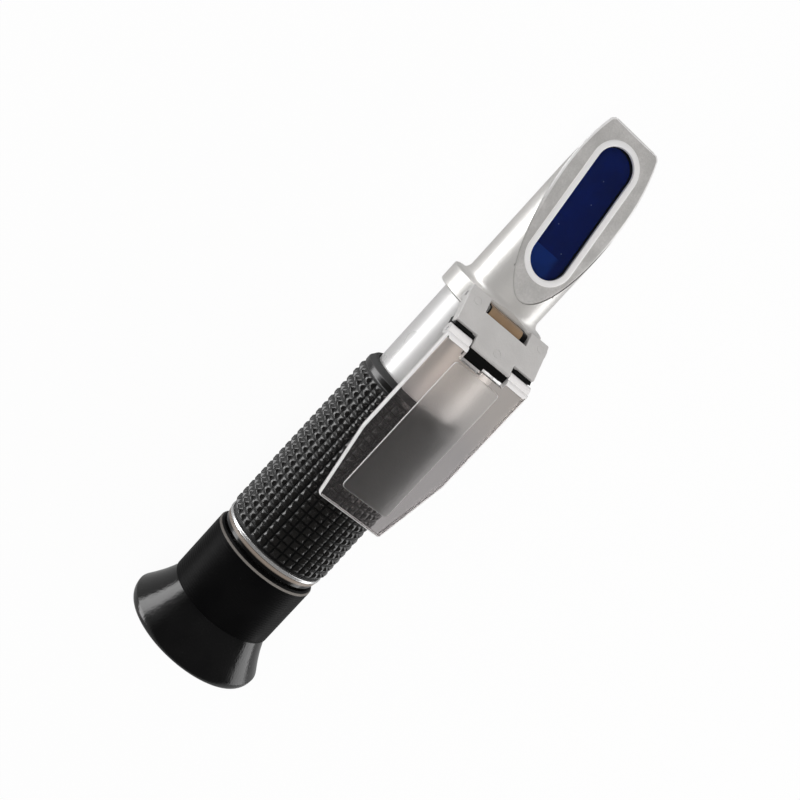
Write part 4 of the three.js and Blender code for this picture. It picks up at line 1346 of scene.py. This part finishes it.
    def saddle(self, right: float, left: float) -> Mesh:
        """Build a strip that is folded over the lug.

        Args:
            right: Where its right end is.
            left: Where its left end is.

        Returns:
            The strip.
        """
        x, z = ARM_PIN
        foot = self.collar_flat + 0.1
        outer, inner = self.spring_radius, self.spring_radius - self.spring_thickness
        outside = [(x + outer, foot), *half_circle(outer, x, z), (x - outer, foot)]
        inside = [(x + inner, foot), *half_circle(inner, x, z), (x - inner, foot)]
        return across(outside + inside[::-1], (left - right) / 2, (left + right) / 2)

    def build(self, shop: Workshop) -> None:
        """Add the head's pieces to the scene.

        Args:
            shop: Takes the finished pieces.
        """
        shop.add("prism_housing", self.housing(), CASTING, Body.MAIN)
        shop.add("prism_bezel", self.bezel(), FACE_PLATE, Body.MAIN, smooth=50)
        shop.add("prism", self.glass(), PRISM_GLASS, Body.MAIN)
        shop.add("prism", self.backing(), PRISM_BACKING, Body.MAIN, name="prism_backing")
        shop.add("prism_seal", self.seal(), SEAL_RUBBER, Body.MAIN)
        shop.add("arm_spring", self.saddle(-4.28, 5.3), BRONZE, Body.MAIN)
        # Painted shade: black strips at both ends of the bronze spring fill the gaps beside the lug, where
        # shade falls.
        for side, ends in (("right", (-5.68, -4.3)), ("left", (5.32, 5.68))):
            shop.add("arm_spring", self.saddle(*ends), INSERT_BLACK, Body.MAIN, name=f"arm_spring_{side}_end")
        shop.paint(INNER_METAL, "light_baffle")


def half_circle(radius: float, x: float, z: float) -> list[Point2]:
    """Return the corners of the upper half of a circle, from front to rear."""
    turns = [math.pi * i / 24 for i in range(25)]
    return [(x + radius * math.cos(t), z + radius * math.sin(t)) for t in turns]


@dataclass(frozen=True)
class BodyTube:
    """The bright tube with its neck, and the screws in its underside."""

    front: float = 53.6
    neck: float = 131.0
    rear: float = 143.1
    radius: float = 11.48
    neck_radius: float = 11.0
    bore: float = 9.8
    seal: float = 134.0
    seal_depth: float = 0.46
    set_screw_size: Point2 = (1.0, -8.9)
    calibration: float = 65.0
    calibration_hole: float = 1.7
    calibration_size: Point2 = (1.6, -8.3)
    guide: float = 137.0
    guide_hole: float = 0.8
    sink: float = 0.25
    slot: float = 0.5

    def tube(self) -> Mesh:
        """Build the tube with its three holes.

        Returns:
            The piece's mesh.
        """
        profile = filleted(
            [
                (self.front, self.bore),
                (self.front, self.radius, 0.2),
                (self.neck, self.radius, 0.1),
                (self.neck, self.neck_radius),
                *groove(self.seal, self.neck_radius, self.seal_depth),
                (self.rear, self.neck_radius, 0.2),
                (self.rear, self.bore),
            ]
        )
        stations = (SET_SCREW, self.calibration, self.guide)
        holes = [
            upright(circle(radius, along(station)), -self.radius - 1, -self.bore + 1)
            for station, radius in zip(stations, (SET_SCREW_HOLE, self.calibration_hole, self.guide_hole))
        ]
        return carved(revolved(profile), Carve.CUT, *holes)

    def screw(self, station: float, radius: float, top: float) -> Mesh:
        """Build a headless slotted screw that points up.

        Args:
            station: Where its middle is.
            radius: Its radius.
            top: Height of its upper end.

        Returns:
            The screw.
        """
        bottom = -self.radius + self.sink
        x = along(station)
        shank = upright(circle(radius, x), bottom, top)
        half, reach = self.slot / 2, radius + 1
        slot = block((x - half, -reach, bottom - 1), (x + half, reach, bottom + self.slot))
        return bevelled(carved(shank, Carve.CUT, slot), 0.08)

    def build(self, shop: Workshop) -> None:
        """Add the tube's pieces to the scene.

        Args:
            shop: Takes the finished pieces.
        """
        shop.add("body_tube", self.tube(), TUBE, Body.MAIN)
        shop.add("tube_set_screw", self.screw(SET_SCREW, *self.set_screw_size), STEEL, Body.MAIN)
        zero_screw = self.screw(self.calibration, *self.calibration_size)
        shop.add("calibration_screw", zero_screw, STEEL, Body.CALIBRATION)
        shop.paint(SEAL_RUBBER, "tube_seal", "focus_seal")
        shop.paint(STEEL, "guide_screw", "strip_screw", "barrel_clip")
        shop.paint(BRONZE, "bimetal_strip")
        shop.paint(INNER_METAL, "objective_cell", "lens_carrier", "reticle_holder")
        shop.paint(INNER_METAL, "reticle_clip", "lens_spacer")
        shop.paint(LENS_GLASS, "objective_lens", "reticle")


class Relief:
    """A skin wrapped around the axis, whose raised cells are set out in rows and columns."""

    def __init__(self) -> None:
        """Build the tree once."""
        whole, length = "NodeSocketInt", "NodeSocketFloat"
        sheet, source, result = group_tree(
            "Wrapped relief",
            "GeometryNodeTree",
            {
                "Geometry": ("NodeSocketGeometry", None),
                "Steps around": (whole, 320),
                "Steps along": (whole, 168),
                "Columns": (length, 40.0),
                "Rows": (length, 21.0),
                "Front": (length, 0.0),
                "Length": (length, 1.0),
                "Front radius": (length, 1.0),
                "Rear radius": (length, 1.0),
                "Rise": (length, 0.5),
                "Steepness": (length, 1.2),
                "Ribs only": (length, 0.0),
                "Material": ("NodeSocketMaterial", None),
            },
            {"Geometry": "NodeSocketGeometry"},
        )
        given = source.outputs
        around = sheet.math("ADD", given["Steps around"], 1)
        backwards = sheet.math("ADD", given["Steps along"], 1)
        corners = {"Size X": 1.0, "Size Y": 1.0, "Vertices X": around, "Vertices Y": backwards}
        grid = sheet.add("GeometryNodeMeshGrid", None, corners)
        position = sheet.add("GeometryNodeInputPosition").outputs[0]
        place = sheet.add("ShaderNodeSeparateXYZ", None, {0: position})
        u = sheet.math("ADD", place.outputs[0], 0.5)
        v = sheet.math("ADD", place.outputs[1], 0.5)
        side = sheet.math("PINGPONG", sheet.math("MULTIPLY", u, given["Columns"]), 0.5)
        side = sheet.math("MAXIMUM", sheet.math("MULTIPLY", side, 2), given["Ribs only"])
        row = sheet.math("MULTIPLY", sheet.math("PINGPONG", sheet.math("MULTIPLY", v, given["Rows"]), 0.5), 2)
        steep = sheet.math("MULTIPLY", sheet.math("MINIMUM", side, row), given["Steepness"])
        relief = sheet.math("SMOOTH_MIN", steep, 1.0, 0.1)
        base = sheet.blend(v, given["Front radius"], given["Rear radius"], colours=False)
        radius = sheet.math("ADD", base, sheet.math("MULTIPLY", relief, given["Rise"]))
        angle = sheet.math("MULTIPLY", u, math.tau)
        wrapped = sheet.add(
            "ShaderNodeCombineXYZ",
            None,
            {
                0: sheet.math("SUBTRACT", given["Front"], sheet.math("MULTIPLY", v, given["Length"])),
                1: sheet.math("MULTIPLY", radius, sheet.math("SINE", angle)),
                2: sheet.math("MULTIPLY", radius, sheet.math("COSINE", angle)),
            },
        )
        shell = {"Geometry": grid.outputs["Mesh"], "Position": wrapped.outputs[0]}
        bent = sheet.add("GeometryNodeSetPosition", None, shell)
        real = sheet.add("GeometryNodeRealizeInstances", None, {"Geometry": bent.outputs[0]})
        covering = {"Geometry": real.outputs[0], "Material": given["Material"]}
        dressed = sheet.add("GeometryNodeSetMaterial", None, covering)
        sheet.tree.links.new(dressed.outputs[0], result.inputs["Geometry"])
        self.tree = sheet.tree

    def skin(self, ends: Mesh, **values: Any) -> Mesh:
        """Make a relief and close it with the plain rest of its piece.

        Args:
            ends: The turned rest of the piece, open where the relief goes.
            **values: Values for the tree's inputs, with underscores for spaces.

        Returns:
            The closed solid.
        """
        carrier = placed("relief", bpy.data.meshes.new("relief"))
        modifier = carrier.modifiers.new("relief", "NODES")
        modifier.node_group = self.tree
        named = {name.replace("_", " "): value for name, value in values.items()}
        for item in self.tree.interface.items_tree:
            if item.in_out == "INPUT" and item.name in named:
                modifier[item.identifier] = named[item.name]
        work = bmesh.new()
        work.from_mesh(result_of(carrier))
        work.from_mesh(ends)
        whole = bpy.data.meshes.new("shape")
        work.to_mesh(whole)
        work.free()
        return tidied(whole)


@dataclass(frozen=True)
class Grip:
    """The rubber sleeve with its rows of pyramids, and the two rings behind it."""

    front: float = 76.9
    length: float = 50.6
    bore: float = 11.78
    front_radius: float = 13.35
    rear_radius: float = 13.85
    lip_radius: float = 12.7
    lip_bevel: float = 1.4
    lip_band: float = 1.8
    rear_band: float = 0.6
    rise: float = 0.6
    steepness: float = 1.3333
    rows: int = 21
    columns: int = 40
    cell_steps: int = 8
    trim: float = 127.8
    trim_length: float = 0.9
    trim_edge: Point2 = (14.13, 0.3)
    end_ring: float = 128.8
    end_length: float = 2.1
    end_front: Point2 = (14.0, 0.15)
    end_rear: Point2 = (13.5, 0.4)

    def valley(self, station: float) -> float:
        """Return the radius between the pyramids at a station."""
        share = (station - self.front) / self.length
        return self.front_radius + (self.rear_radius - self.front_radius) * share

    def sleeve(self, relief: Relief) -> Mesh:
        """Build the sleeve.

        Args:
            relief: The tree that makes the pyramids.

        Returns:
            The closed sleeve.
        """
        start = self.front + self.lip_bevel + self.lip_band
        rear = self.front + self.length
        end = rear - self.rear_band
        lip = self.valley(self.front + self.lip_bevel) + self.rise / 2
        around = self.columns * self.cell_steps
        corners = [
            (end, self.valley(end)),
            (rear, self.rear_radius, 0.2),
            (rear, self.bore),
            (self.front, self.bore),
            (self.front, self.lip_radius, 0.3),
            (self.front + self.lip_bevel, lip, 0.5),
            (start - self.rise, lip, 0.25),
            (start, self.valley(start)),
        ]
        ends = revolved(filleted(corners, closed=False), around, open_ended=True)
        return relief.skin(
            ends,
            Steps_around=around,
            Steps_along=self.rows * self.cell_steps,
            Columns=float(self.columns),
            Rows=float(self.rows),
            Front=along(start),
            Length=end - start,
            Front_radius=self.valley(start),
            Rear_radius=self.valley(end),
            Rise=self.rise,
            Steepness=self.steepness,
        )

    def hoop(self, front: float, length: float, front_edge: Point2, rear_edge: Point2) -> Mesh:
        """Build a ring behind the sleeve.

        Args:
            front: Where it starts.
            length: Its length.
            front_edge: Radius and rounding of its front edge.
            rear_edge: Radius and rounding of its rear edge.

        Returns:
            The ring.
        """
        rear = front + length
        outer = [(front, *front_edge), (rear, *rear_edge)]
        return revolved(filleted([(front, self.bore), *outer, (rear, self.bore)]))

    def build(self, shop: Workshop, relief: Relief) -> None:
        """Add the grip's pieces to the scene.

        Args:
            shop: Takes the finished pieces.
            relief: The tree that makes raised cells.
        """
        shop.add("grip_sleeve", self.sleeve(relief), GRIP_RUBBER, Body.MAIN, smooth=30)
        trim = self.hoop(self.trim, self.trim_length, self.trim_edge, self.trim_edge)
        shop.add("trim_ring", trim, TRIM, Body.MAIN)
        end_ring = self.hoop(self.end_ring, self.end_length, self.end_front, self.end_rear)
        shop.add("grip_end_ring", end_ring, GLOSS_BLACK, Body.MAIN)


@dataclass(frozen=True)
class FocusEnd:
    """The ribbed focus ring, the flared eyecup and the eyepiece seen through it."""

    ring_front: float = 131.4
    ring_rear: float = 149.0
    ring_radius: float = 14.4
    nose_radius: float = 13.7
    nose_bevel: float = 0.8
    bore: float = 11.4
    web: float = 2.5
    web_bore: float = 9.5
    spigot_radius: float = 12.4
    spigot_length: float = 3.0
    clip: float = 143.4
    clip_thickness: float = 0.9
    clip_seat: float = 0.4
    ribs: int = 23
    rib_steps: int = 6
    rib_rise: float = 0.045
    rib_steepness: float = 1.6
    rib_front: float = 132.9
    rib_rear: float = 148.5
    cup_front: float = 149.1
    cup_neck: float = 13.9
    cup_rim: float = 18.76
    cup_flare: float = 9.6
    cup_bow: float = 0.35
    cup_lip: float = 2.6
    cup_lip_inset: float = 1.36
    cup_wall: float = 1.9
    cup_floor: float = 1.2
    cup_bore: float = 12.7
    cup_eye: float = 8.0
    barrel: float = 128.0
    barrel_rear: float = 146.2
    flange: float = 144.6
    field_lens: float = 129.3
    eye_lens: float = 141.2
    lens_radius: float = 7.7
    retainer_setback: float = 2.184
    ring_steps: int = 192
    barrel_steps: int = 96

    def ring(self, relief: Relief) -> Mesh:
        """Build the focus ring.

        Args:
            relief: The tree that makes the ribs.

        Returns:
            The closed ring.
        """
        valley = self.ring_radius - self.rib_rise
        seat_front, seat_rear = self.clip - 0.1, self.clip + self.clip_thickness + 0.1
        corners = [
            (self.rib_rear, valley),
            (self.rib_rear + 0.05, self.ring_radius),
            (self.ring_rear, self.ring_radius, 0.2),
            (self.ring_rear, self.spigot_radius),
            (self.ring_rear + self.spigot_length, self.spigot_radius),
            (self.ring_rear + self.spigot_length, self.web_bore),
            (self.ring_rear - self.web, self.web_bore),
            (self.ring_rear - self.web, self.bore),
            (seat_rear, self.bore),
            (seat_rear, self.bore + self.clip_seat),
            (seat_front, self.bore + self.clip_seat),
            (seat_front, self.bore),
            (self.ring_front, self.bore),
            (self.ring_front, self.nose_radius, 0.12),
            (self.ring_front + self.nose_bevel, self.ring_radius, 0.12),
            (self.rib_front - 0.05, self.ring_radius),
            (self.rib_front, valley),
        ]
        ends = revolved(filleted(corners, closed=False), self.ring_steps, open_ended=True)
        return relief.skin(
            ends,
            Steps_around=self.ring_steps,
            Steps_along=self.ribs * self.rib_steps,
            Rows=float(self.ribs),
            Front=along(self.rib_front),
            Length=self.rib_rear - self.rib_front,
            Front_radius=valley,
            Rear_radius=valley,
            Rise=self.rib_rise,
            Steepness=self.rib_steepness,
            Ribs_only=1.0,
        )

    def cup(self) -> Mesh:
        """Build the eyecup.

        Returns:
            The piece's mesh.
        """
        lip = self.cup_front + self.cup_flare
        end = lip + self.cup_lip
        outer: list[Corner] = []
        for i in range(25):
            share = i / 24
            bow = self.cup_bow * math.sin(math.pi * share)
            radius = self.cup_neck + (self.cup_rim - self.cup_neck) * share - bow
            outer.append((self.cup_front + self.cup_flare * share, radius))
        for i in range(1, 13):
            turn = math.pi / 2 * i / 12
            radius = self.cup_rim - self.cup_lip_inset * (1 - math.cos(turn))
            outer.append((lip + self.cup_lip * math.sin(turn), radius))
        floor = self.cup_front + self.spigot_length + 0.3 + self.cup_floor
        inner = [
            (end, self.cup_rim - self.cup_lip_inset - self.cup_wall / 2, 0.6),
            (lip, self.cup_rim - self.cup_wall, 2.0),
            (floor + self.cup_wall, self.cup_neck - self.cup_wall / 2, 1.0),
            (floor, self.cup_neck - self.cup_wall, 0.6),
            (floor, self.cup_eye, 0.4),
            (floor - self.cup_floor, self.cup_eye, 0.2),
            (floor - self.cup_floor, self.cup_bore),
            (self.cup_front, self.cup_bore, 0.1),
        ]
        return revolved(filleted([*outer, *inner]), self.ring_steps)

    def barrel_tube(self) -> Mesh:
        """Build the sliding barrel with its keyway.

        Returns:
            The piece's mesh.
        """
        profile = [
            (self.barrel, 7.0),
            (self.barrel, 9.5, 0.2),
            (self.flange, 9.5),
            (self.flange, 11.0, 0.1),
            (self.barrel_rear, 11.0, 0.2),
            (self.barrel_rear, 8.0, 0.15),
            (self.barrel + 1.2, 8.0),
            (self.barrel + 1.2, 7.0),
        ]
        keyway = block((along(self.barrel + 10), -0.95, -10.5), (along(self.barrel + 3), 0.95, -7.0))
        return carved(revolved(filleted(profile), self.barrel_steps), Carve.CUT, keyway)

    def lens(self, station: float, edge: float, front_sag: float, rear_sag: float) -> Mesh:
        """Build a lens.

        Args:
            station: Where its front rim is.
            edge: Its thickness at the rim.
            front_sag: How far its front bulges.
            rear_sag: How far its rear bulges.

        Returns:
            The lens.
        """
        shares = [i / 16 for i in range(17)]
        front = [(station - front_sag * (1 - share**2), self.lens_radius * share) for share in shares]
        back = station + edge
        rear = [(back + rear_sag * (1 - share**2), self.lens_radius * share) for share in reversed(shares)]
        return revolved(front + rear, self.barrel_steps)

    def retainer(self) -> Mesh:
        """Build the threaded ring that holds the lenses.

        Returns:
            The piece's mesh.
        """
        front, rear = self.eye_lens + self.retainer_setback, self.barrel_rear
        outer = self.lens_radius
        profile = filleted([(front, 6.1), (front, outer), (rear, outer, 0.1), (rear, 6.1, 0.5)])
        return revolved(profile, self.barrel_steps)

    def build(self, shop: Workshop, relief: Relief) -> None:
        """Add the focus end's pieces to the scene.

        Args:
            shop: Takes the finished pieces.
            relief: The tree that makes raised cells.
        """
        shop.add("focus_ring", self.ring(relief), RING_BLACK, Body.FOCUS, smooth=24)
        shop.add("eyecup", self.cup(), CUP_RUBBER, Body.FOCUS)
        shop.add("eyepiece_barrel", self.barrel_tube(), INNER_METAL, Body.EYEPIECE)
        shop.add("eye_lens", self.lens(self.eye_lens, 1.6, 1.3, 1.3), LENS_GLASS, Body.EYEPIECE)
        shop.add("field_lens", self.lens(self.field_lens, 1.4, 0, 1.1), LENS_GLASS, Body.EYEPIECE)
        shop.add("lens_retainer", self.retainer(), INNER_METAL, Body.EYEPIECE)


@dataclass(frozen=True)
class CoverHinge:
    """The sloping arm on the collar, its bearing block and both hinge pins."""

    half_width: float = 11.8
    side_length: float = 10.1
    tongue_length: float = 13.35
    tongue_half: float = 5.65
    tongue_thickness: float = 0.8
    notch_length: float = 4.1
    notch_half: float = 6.3
    pin_up: float = 2.3
    pin_depth: float = 1.5
    pin_radius: float = 0.52
    arm_pin_half: float = 11.7
    plate_pin: Point2 = (44.028, 20.099)
    plate_pin_half: float = 12.0
    knuckle: float = 1.7
    edge_round: float = 0.25
    mark_radius: float = 1.05
    mark_width: float = 0.16
    mark_depth: float = 0.07
    marks: tuple[Point2, ...] = ((3.1, 9.2), (10.8, -0.5), (2.2, -10.0))

    @property
    def place(self) -> Matrix:
        """The arm's own frame, with X down its slope and Z out of it."""
        shift = Matrix.Translation((ARM_EDGE[0], 0, ARM_EDGE[1]))
        return shift @ Matrix.Rotation(math.radians(ARM_SLOPE), 4, "Y")

    def arm(self) -> Mesh:
        """Build the arm with its knuckles, tongue and round marks.

        Returns:
            The piece's mesh.
        """
        width, side = self.half_width, self.side_length
        tongue, half = self.tongue_length, self.tongue_half
        plan = filleted(
            [
                (0, -width, 0.4),
                (0, width, 0.4),
                (-side, width, 0.3),
                (-side, half, 0.15),
                (-tongue, half, 0.2),
                (-tongue, -half, 0.2),
                (-side, -half, 0.15),
                (-side, -width, 0.3),
            ]
        )
        pin = (-self.pin_up, -self.pin_depth)
        half_length, middle = (width - self.notch_half) / 2, (width + self.notch_half) / 2
        knuckles = [across(circle(self.knuckle, *pin), half_length, sign * middle) for sign in (-1, 1)]
        above = block((-tongue, -width - 1, 0), (self.knuckle, width + 1, self.knuckle))
        notch = block((-self.notch_length, -self.notch_half, -6), (1, self.notch_half, 1))
        hole = across(circle(self.pin_radius + 0.1, *pin), width + 1)
        bottom = -ARM_THICKNESS - 1
        under = block((-tongue - 1, -half - 1, bottom), (-side, half + 1, -self.tongue_thickness))
        body = carved(slab(plan, -ARM_THICKNESS, 0, self.edge_round), Carve.JOIN, *knuckles)
        body = carved(body, Carve.CUT, above, notch, hole, under)
        rings = []
        for up, y in self.marks:
            outer = upright(circle(self.mark_radius, -up, y), -self.mark_depth, 1)
            core = upright(circle(self.mark_radius - self.mark_width, -up, y), -1, 2)
            rings.append(carved(outer, Carve.CUT, core))
        return moved(carved(body, Carve.CUT, *rings), self.place)

    def pin(self, x: float, z: float, half_width: float) -> Mesh:
        """Build a hinge pin with domed ends.

        Args:
            x: Place along the axis.
            z: Height over the axis.
            half_width: Half of its length.

        Returns:
            The pin.
        """
        return bevelled(across(circle(self.pin_radius, x, z), half_width), 0.12)

    def build(self, shop: Workshop) -> None:
        """Add the hinge's pieces to the scene.

        Args:
            shop: Takes the finished pieces.
        """
        shop.add("hinge_arm", self.arm(), ARM_PLASTIC, Body.ARM)
        shop.add("hinge_insert", node_copy(shop.nodes["hinge_insert"], 0.1), INSERT_BLACK, Body.ARM)
        shop.add("arm_pin", self.pin(*ARM_PIN, self.arm_pin_half), STEEL, Body.ARM)
        shop.add("plate_pin", self.pin(*self.plate_pin, self.plate_pin_half), STEEL, Body.PLATE)


@dataclass(frozen=True)
class DaylightPlate:
    """The clear plate with its raised hazy pad."""

    pin: Point2 = (44.0282, 20.0988)
    lift: float = 0.59
    thickness: float = 2.3
    half_width: float = 12.1
    end_half: float = 9.05
    taper_run: float = 28.1
    length: float = 46.8
    knuckle: float = 1.5
    knuckle_inner: float = 5.95
    pin_hole: float = 0.62
    brow: float = 1.1
    pad_front: float = 3.8
    pad_rear: float = 41.8
    pad_half: float = 6.6
    pad_rise: float = 0.4
    lobe_step: float = 0.9
    lobe_swing: float = 3.242
    edge_round: float = 0.75
    pad_round: float = 0.2

    def plate(self) -> Mesh:
        """Build the plate.

        Returns:
            The piece's mesh.
        """
        bottom, top = self.lift, self.lift + self.thickness
        half = self.half_width
        plan = filleted(
            [
                (1, -half),
                (-self.taper_run, -half, 8.0),
                (-self.length, -self.end_half, 0.9),
                (-self.length, self.end_half, 0.9),
                (-self.taper_run, half, 8.0),
                (1, half),
            ]
        )
        side = filleted([(-60, bottom), (0, bottom), (0, top, self.brow), (-60, top)])
        sheet = carved(slab(plan, bottom, top, self.edge_round), Carve.COMMON, across(side, half + 1))
        inner = self.knuckle_inner
        half_length, middle = (half - inner) / 2, (half + inner) / 2
        knuckles = [across(circle(self.knuckle), half_length, sign * middle) for sign in (-1, 1)]
        pad_plan = filleted(
            [
                (-self.pad_front, -self.pad_half, 1.0),
                (-self.pad_front, self.pad_half, 1.0),
                (-self.pad_rear, self.pad_half, 1.0),
                (-self.pad_rear, -self.pad_half, 1.0),
            ]
        )
        pad = slab(pad_plan, top - self.thickness / 2, top + self.pad_rise, self.pad_round)
        body = carved(sheet, Carve.JOIN, *knuckles, pad)
        notches = [
            block((-depth, right, bottom - 1), (self.knuckle + 1, inner, top + 1))
            for right, depth in ((-inner, self.lobe_swing - self.lobe_step), (0, self.lobe_swing))
        ]
        hole = across(circle(self.pin_hole), half + 1)
        body = carved(body, Carve.CUT, *notches, hole)
        self.sort_faces(body)
        return moved(body, Matrix.Translation((self.pin[0], 0, self.pin[1])))

    def sort_faces(self, mesh: Mesh) -> None:
        """Number the faces: 0 clear, 1 the top of the pad, 2 the milled edges and the hinge lobes, where the
        white finish is a painted highlight.

        Args:
            mesh: The plate in its own frame, which is changed.
        """
        margin, top = 0.05, self.lift + self.thickness
        for face in mesh.polygons:
            x, y, z = face.center
            flat = abs(face.normal.z) > FLAT_ENOUGH
            # Painted highlight: the hinge lobes take the white edge finish so that they read as lit.
            lobe_highlight = x > -self.brow and abs(y) > self.knuckle_inner - margin
            around = abs(y) > self.half_width - self.edge_round - margin or x < -self.taper_run
            if z > top + margin / 2:
                face.material_index = 1 if flat or x > -self.pad_front - self.pad_round else 2
            elif lobe_highlight or (around and not flat):
                face.material_index = 2

    def build(self, shop: Workshop) -> None:
        """Add the plate to the scene."""
        shop.add("daylight_plate", self.plate(), CLEAR_PLASTIC, Body.PLATE, PAD_PLASTIC, EDGE_AND_LOBE_HIGHLIGHT)


# The studio


@dataclass(frozen=True)
class SoftBox:
    """A rectangular lamp that points at the instrument, for its highlights or for its plain light."""

    name: str
    direction: tuple[float, float, float]
    distance: float
    width: float
    height: float
    brightness: float
    colour: Colour = (1.0, 1.0, 1.0)
    highlights: bool = True

    def build(self) -> None:
        """Add the lamp to the scene, with the power that gives its face the brightness."""
        lamp = bpy.data.lights.new(self.name, "AREA")
        lamp.shape = "RECTANGLE"
        lamp.size, lamp.size_y, lamp.color = self.width, self.height, self.colour
        lamp.energy = self.brightness * math.pi * self.width * self.height
        stand = placed(self.name, lamp)
        away = Vector(self.direction).normalized()
        stand.location = away * self.distance
        stand.rotation_euler = away.to_track_quat("Z", "Y").to_euler()
        stand.visible_camera = False
        stand.visible_glossy = self.highlights
        stand.visible_diffuse = not self.highlights


@dataclass(frozen=True)
class Studio:
    """The camera, the lamps, the pale floor and the pale surroundings."""

    eye: tuple[float, float, float] = (0.08138, 0.10794, 0.28220)
    right: tuple[float, float, float] = (0.66309, -0.73614, 0.13576)
    up: tuple[float, float, float] = (0.72211, 0.58128, -0.37507)
    lens: float = 58.52
    sensor: float = 36.0
    floor_drop: float = 0.0004
    floor_size: float = 6.0
    floor_share: float = 0.95
    shown: float = 1.0
    mirrored: float = 0.4
    horizon: float = 0.4
    fill: float = 0.4
    overhead: float = 0.07

    def camera(self) -> None:
        """Set the camera at the photograph's viewpoint."""
        data = bpy.data.cameras.new("Camera")
        data.lens, data.sensor_width, data.clip_start = self.lens, self.sensor, 0.01
        camera = placed("Camera", data)
        right, up = Vector(self.right).normalized(), Vector(self.up)
        back = right.cross(up).normalized()
        up = back.cross(right)
        turn = Matrix((right, up, back)).transposed().to_4x4()
        camera.matrix_world = Matrix.Translation(self.eye) @ turn
        bpy.context.scene.camera = camera

    def floor(self, height: float) -> None:
        """Lay the pale floor.

        Args:
            height: Height of the floor in metres.
        """
        half = self.floor_size / 2
        mesh = bpy.data.meshes.new("Floor")
        corners = ((-half, -half), (half, -half), (half, half), (-half, half))
        mesh.from_pydata([(x, y, height) for x, y in corners], [], [(0, 1, 2, 3)])
        material = bpy.data.materials.new("Pale floor")
        material.use_nodes = True
        sheet = Sheet(material.node_tree)
        matt = sheet.add("ShaderNodeBsdfDiffuse", None, {"Color": (0.9, 0.9, 0.9, 1)})
        path = sheet.add("ShaderNodeLightPath").outputs
        direct = sheet.math("MAXIMUM", path["Is Camera Ray"], path["Is Transmission Ray"])
        mirror = path["Is Glossy Ray"]
        strength = sheet.blend(mirror, self.shown, self.mirrored, colours=False)
        glow = sheet.add("ShaderNodeEmission", None, {"Color": (1, 1, 1, 1), "Strength": strength})
        share = sheet.math("MAXIMUM", sheet.math("MULTIPLY", direct, self.floor_share), mirror)
        mixed = sheet.add("ShaderNodeMixShader", None, {0: share, 1: matt.outputs[0], 2: glow.outputs[0]})
        sheet.add("ShaderNodeOutputMaterial", None, {"Surface": mixed.outputs[0]})
        mesh.materials.append(material)
        floor = placed("Floor", mesh)
        floor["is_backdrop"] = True

    def surroundings(self) -> None:
        """Surround the scene with white that dims overhead, where a studio is dark."""
        world = bpy.data.worlds.new("Studio")
        world.use_nodes = True
        sheet = Sheet(world.node_tree)
        direction = sheet.add("ShaderNodeTexCoord").outputs["Generated"]
        height = sheet.add("ShaderNodeSeparateXYZ", None, {0: direction}).outputs[2]
        shown = sheet.ramp(height, 0.0, 0.3, self.horizon, self.overhead)
        path = sheet.add("ShaderNodeLightPath").outputs
        shiny = sheet.math("MAXIMUM", path["Is Glossy Ray"], path["Is Transmission Ray"])
        lit = sheet.blend(shiny, self.fill, shown, colours=False)
        strength = sheet.blend(path["Is Camera Ray"], lit, self.shown, colours=False)
        light = sheet.add("ShaderNodeBackground", None, {"Color": (1, 1, 1, 1), "Strength": strength})
        sheet.add("ShaderNodeOutputWorld", None, {"Surface": light.outputs[0]})
        bpy.context.scene.world = world

    def build(self, lowest: float) -> None:
        """Set up the studio.

        Args:
            lowest: Height of the instrument's lowest point, in metres.
        """
        self.camera()
        self.floor(lowest - self.floor_drop)
        self.surroundings()
        for box in (
            SoftBox("Key", (0.18, 0.27, 1.0), 0.7, 0.4, 0.4, 4.1, (1.0, 0.97, 0.95), highlights=False),
            SoftBox("Right fill", (0.1, -1.0, 0.3), 0.5, 0.3, 0.3, 3.0, (1.0, 0.97, 0.95), highlights=False),
            SoftBox("Right strip", (0.1, -1.0, 0.06), 0.085, 0.22, 0.04, 1.7),
            SoftBox("Left strip", (0.1, 1.0, -0.15), 0.05, 0.22, 0.021, 4.2),
        ):
            box.build()
        bpy.context.scene.view_settings.view_transform = "Standard"


def main() -> None:
    """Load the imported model, dress it piece by piece and set up the studio."""
    logging.basicConfig(level=logging.INFO, format="%(name)s: %(message)s")
    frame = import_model()
    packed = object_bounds()
    shop = Workshop(frame)
    relief = Relief()
    PrismHead().build(shop)
    BodyTube().build(shop)
    Grip().build(shop, relief)
    FocusEnd().build(shop, relief)
    CoverHinge().build(shop)
    DaylightPlate().build(shop)
    Studio().build(packed[0][2])


if __name__ == "__main__":
    main()
